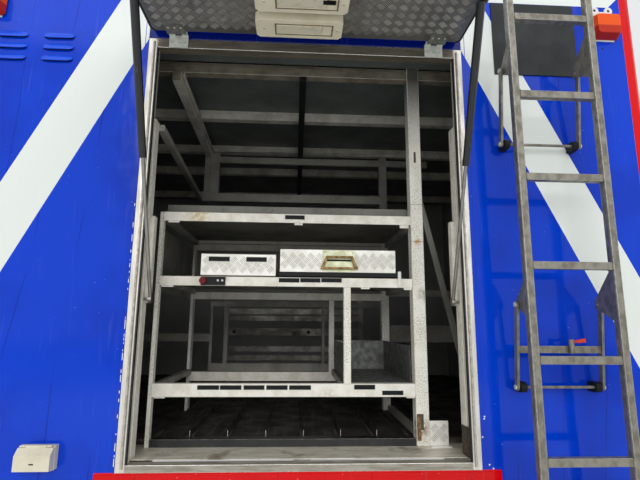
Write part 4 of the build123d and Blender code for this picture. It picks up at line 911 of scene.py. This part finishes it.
ladder_place = 0.8685
ladder_face = -1.385
rung_half = 0.0125
offsets = [-rung_half + step * rung_half / 3 for step in range(7)]
around = [place for offset in offsets for place in (
    (offset, -rung_half), (offset, rung_half), (-rung_half, offset), (rung_half, offset))]
welds = [(ladder_place + side, ladder_face + y, 0.178 + rung * 0.300 + z) for rung in range(6)
         for side in (-0.1335, 0.1335) for y, z in around]
fasten("rung_welds", bead, ladder_steel, welds, faces_right, "ladder")
nut = turned("nut", ((0.0090, 0.0), (0.0090, 0.0042), (0.0080, 0.0050)), 6)
for body, shaft in (("upper_arm", 1.245), ("lower_arm", 0.380)):
    for name, side, turn in (("left", -0.152, faces_left), ("right", 0.152, faces_right)):
        fasten(body + "_nuts_" + name, nut, zinc_plate, [(ladder_place + side, -1.260, shaft),
                                                         (ladder_place + side, -1.295, shaft + 0.275)], turn, body)

# Dipped vinyl grip: bright red where clean, darkened by hands.
lever_red = coat("dipped red vinyl", "cf3a22", "8a2216", (11, 0.5, 0.75), 0.4)
low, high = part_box("lock_lever")
middle = (low.z + high.z) / 2
for point in soften("lock_lever", 0.0022, lever_red, segments=3).data.vertices:
    share = (point.co.x - low.x) / (high.x - low.x)
    point.co.z = middle + (point.co.z - middle) * (1 + 0.9 * share) + 0.005 * share


# Marker lamps: an amber acrylic lens, its lower half a deeper red as painted shade, screwed through the two
# ears of a white moulded base.
# Moulded acrylic: strong colour with a soft gloss, its inner optic seen as small facets.
marker_side = 1.1875
shade_line = 1.752
lens_amber, tree, shader, place = finish("moulded amber acrylic, lower half in painted shade")
height = add(tree, "ShaderNodeSeparateXYZ", {0: place}).outputs["Z"]
# Painted shade: below this line the lens is a deeper red.
lower = add(tree, "ShaderNodeMath", {0: height, 1: shade_line}, operation="LESS_THAN")
base = add(tree, "ShaderNodeMix", {"Factor": lower, "A": "e0520a", "B": "ae250b"}, data_type="RGBA")
optic = add(tree, "ShaderNodeTexVoronoi", {"Vector": place, "Scale": 1000 / 8})
bump = add(tree, "ShaderNodeBump", {"Height": optic, "Distance": 0.001, "Strength": 0.25})
fill(tree, shader, {"Base Color": base, "Normal": bump, "Roughness": 0.3, "Specular IOR Level": 0.25})
lens_low, lens_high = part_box("marker_lenses")
lens_piece = soften("marker_lenses", 0.0025, lens_amber, segments=3)
for point in lens_piece.data.vertices:
    side = 1 if point.co.x > 0 else -1
    front = point.co.y < lens_low.y + 0.012
    point.co.x += (side * marker_side - point.co.x) * (0.20 if front else 0.04)
    point.co.z = lens_high.z - (lens_high.z - point.co.z) * 0.90
    if front:
        point.co.z += ((lens_low.z + lens_high.z) / 2 - point.co.z) * 0.22
base_plate = slabs("marker_plates", [((middle - 0.041, middle + 0.041), (wall_half - 0.0058, wall_half),
                                      (1.706, 1.838)) for middle in (-marker_side, marker_side)], white_plastic,
                   "bay", 0.0015)
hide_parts("marker_bases")
ear_ring = turned("ear_ring", ((0.0165, -0.0058), (0.0165, 0.0), (0.0155, 0.0006), (0.0062, 0.0006),
                               (0.0056, -0.0012)), 24)
# Painted shadow: a black cup in each ear for the dark inside of its hole.
ear_hole = turned("ear_hole", ((0.0055, -0.0011), (0.0050, -0.0009)), 16)
base_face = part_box("marker_bases")[0].y
ears = [(side * place, base_face, 1.842) for side in (-1, 1) for place in (1.159, 1.2165)]
fasten("marker_ears", ear_ring, white_plastic, ears, faces_out, "bay")
fasten("marker_ear_holes", ear_hole, black_plastic, ears, faces_out, "bay")
# Etch primer laid bare where stones have chipped the wall: white and flat.
primer_white = coat("bare white primer in a chip", "dfe3e4", "c3cbd6", (5, 0.4, 0.6), 0.6)
fasten("paint_chips", turned("paint_chip", ((0.0031, 0.0), (0.0024, 0.0002)), 7), primer_white,
       [(0.6164, wall_half, 0.2795), (0.6150, wall_half, 0.2722), (0.6249, wall_half, 0.1264),
        (0.6378, wall_half, 0.1144), (0.6061, wall_half, 0.2139)], faces_out, "bay")
# Painted shadow: a black disc for the dark inside of an empty screw hole.
fasten("spare_screw_hole", turned("screw_hole", ((0.0038, 0.0), (0.0034, 0.0003)), 10), black_plastic,
       [(1.1786, wall_half, 1.6774)], faces_out, "bay")


# Air louvres: hoods pressed out of the sheet, round at both ends, each over a slot drawn as a flat black
# sheet of painted shadow. Their gloss blue is painted lighter than the wall's: painted sky reflection on the hoods.
louvre_paint_with_sky = coach_paint("two-pack gloss paint, louvres, painted sky reflection", "1a52d8", "0f45cc")
louvre_size = (0.118, 0.027, 0.010)
steps_along, steps_down = 24, 8
shape = bmesh.new()
rows = []
for along in range(steps_along + 1):
    share = 2 * along / steps_along - 1
    reach = (1 - abs(share) ** 5) ** 0.5 if abs(share) < 1 else 0.0
    rows.append([shape.verts.new((share * louvre_size[0] / 2, -louvre_size[2] * reach * sin(pi / 2 * down / steps_down),
                                  louvre_size[1] / 2 - louvre_size[1] * (0.5 - reach / 2 + reach * down / steps_down)))
                 for down in range(steps_down + 1)])
for left, right in zip(rows, rows[1:]):
    for down in range(steps_down):
        shape.faces.new((left[down], left[down + 1], right[down + 1], right[down])).smooth = True
bmesh.ops.remove_doubles(shape, verts=shape.verts, dist=1e-6)
hood = bpy.data.objects.new("louvre_hood", settled("louvre_hood", shape))
louvre_places = [(left + louvre_size[0] / 2, wall_half, 1.640 - row * 0.046) for left in (-1.159, -0.990)
                 for row in range(3)]
hoods = fasten("louvre_hoods", hood, louvre_paint_with_sky, louvre_places, (0, 0, 0), "bay")
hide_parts("louvres")
thickness = hoods.modifiers.new("sheet", "SOLIDIFY")
thickness.thickness = 0.0012
thickness.offset = -1.0
# Painted shadow: each slot is a flat black sheet for the dark opening behind its hood.
slabs("louvre_slots", [((x - 0.052, x + 0.052), (wall_half - 0.0006, wall_half), (z - 0.0125, z + 0.004))
                       for x, y, z in louvre_places], black_plastic, "bay", 0.0002)


# Power inlet: a cream moulded housing, dulled by sun and rain, under a wedge shaped lid with a small
# dark latch mark.
aged_cream = coat("moulded cream plastic, aged", "d6d0ba", "c6bea4", (80, 0.40, 0.75, 5.0), 0.42)
for node in ("inlet_housing", "inlet_lid"):
    soften(node, 0.003, aged_cream, segments=3)
lid_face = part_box("inlet_lid")[0].y
slabs("inlet_latch", [((-0.843, -0.829), (lid_face - 0.0003, lid_face), (0.150, 0.154))], black_plastic, "inlet_lid",
      0.0001)


# Rubber mat behind the ladder's head: fine ribbed sheet, glued to the wall, nearly black and greyed by
# the dust between its ribs.
mat_rubber, tree, shader, place = finish("fine ribbed rubber sheet, dusty")
dusty = patches(tree, place, 110, 0.35, 0.75, 8.0)
base = add(tree, "ShaderNodeMix", {"Factor": dusty, "A": "1b1e1f", "B": "2b2f30"}, data_type="RGBA")
ribs = add(tree, "ShaderNodeTexWave", {"Vector": place, "Scale": 1000 / (6 * 2 * pi), "Distortion": 0.0})
bump = add(tree, "ShaderNodeBump", {"Height": ribs, "Distance": 0.0008, "Strength": 0.7})
fill(tree, shader, {"Base Color": base, "Normal": bump, "Roughness": 0.75})
soften("rubber_mat", 0.0015, mat_rubber)
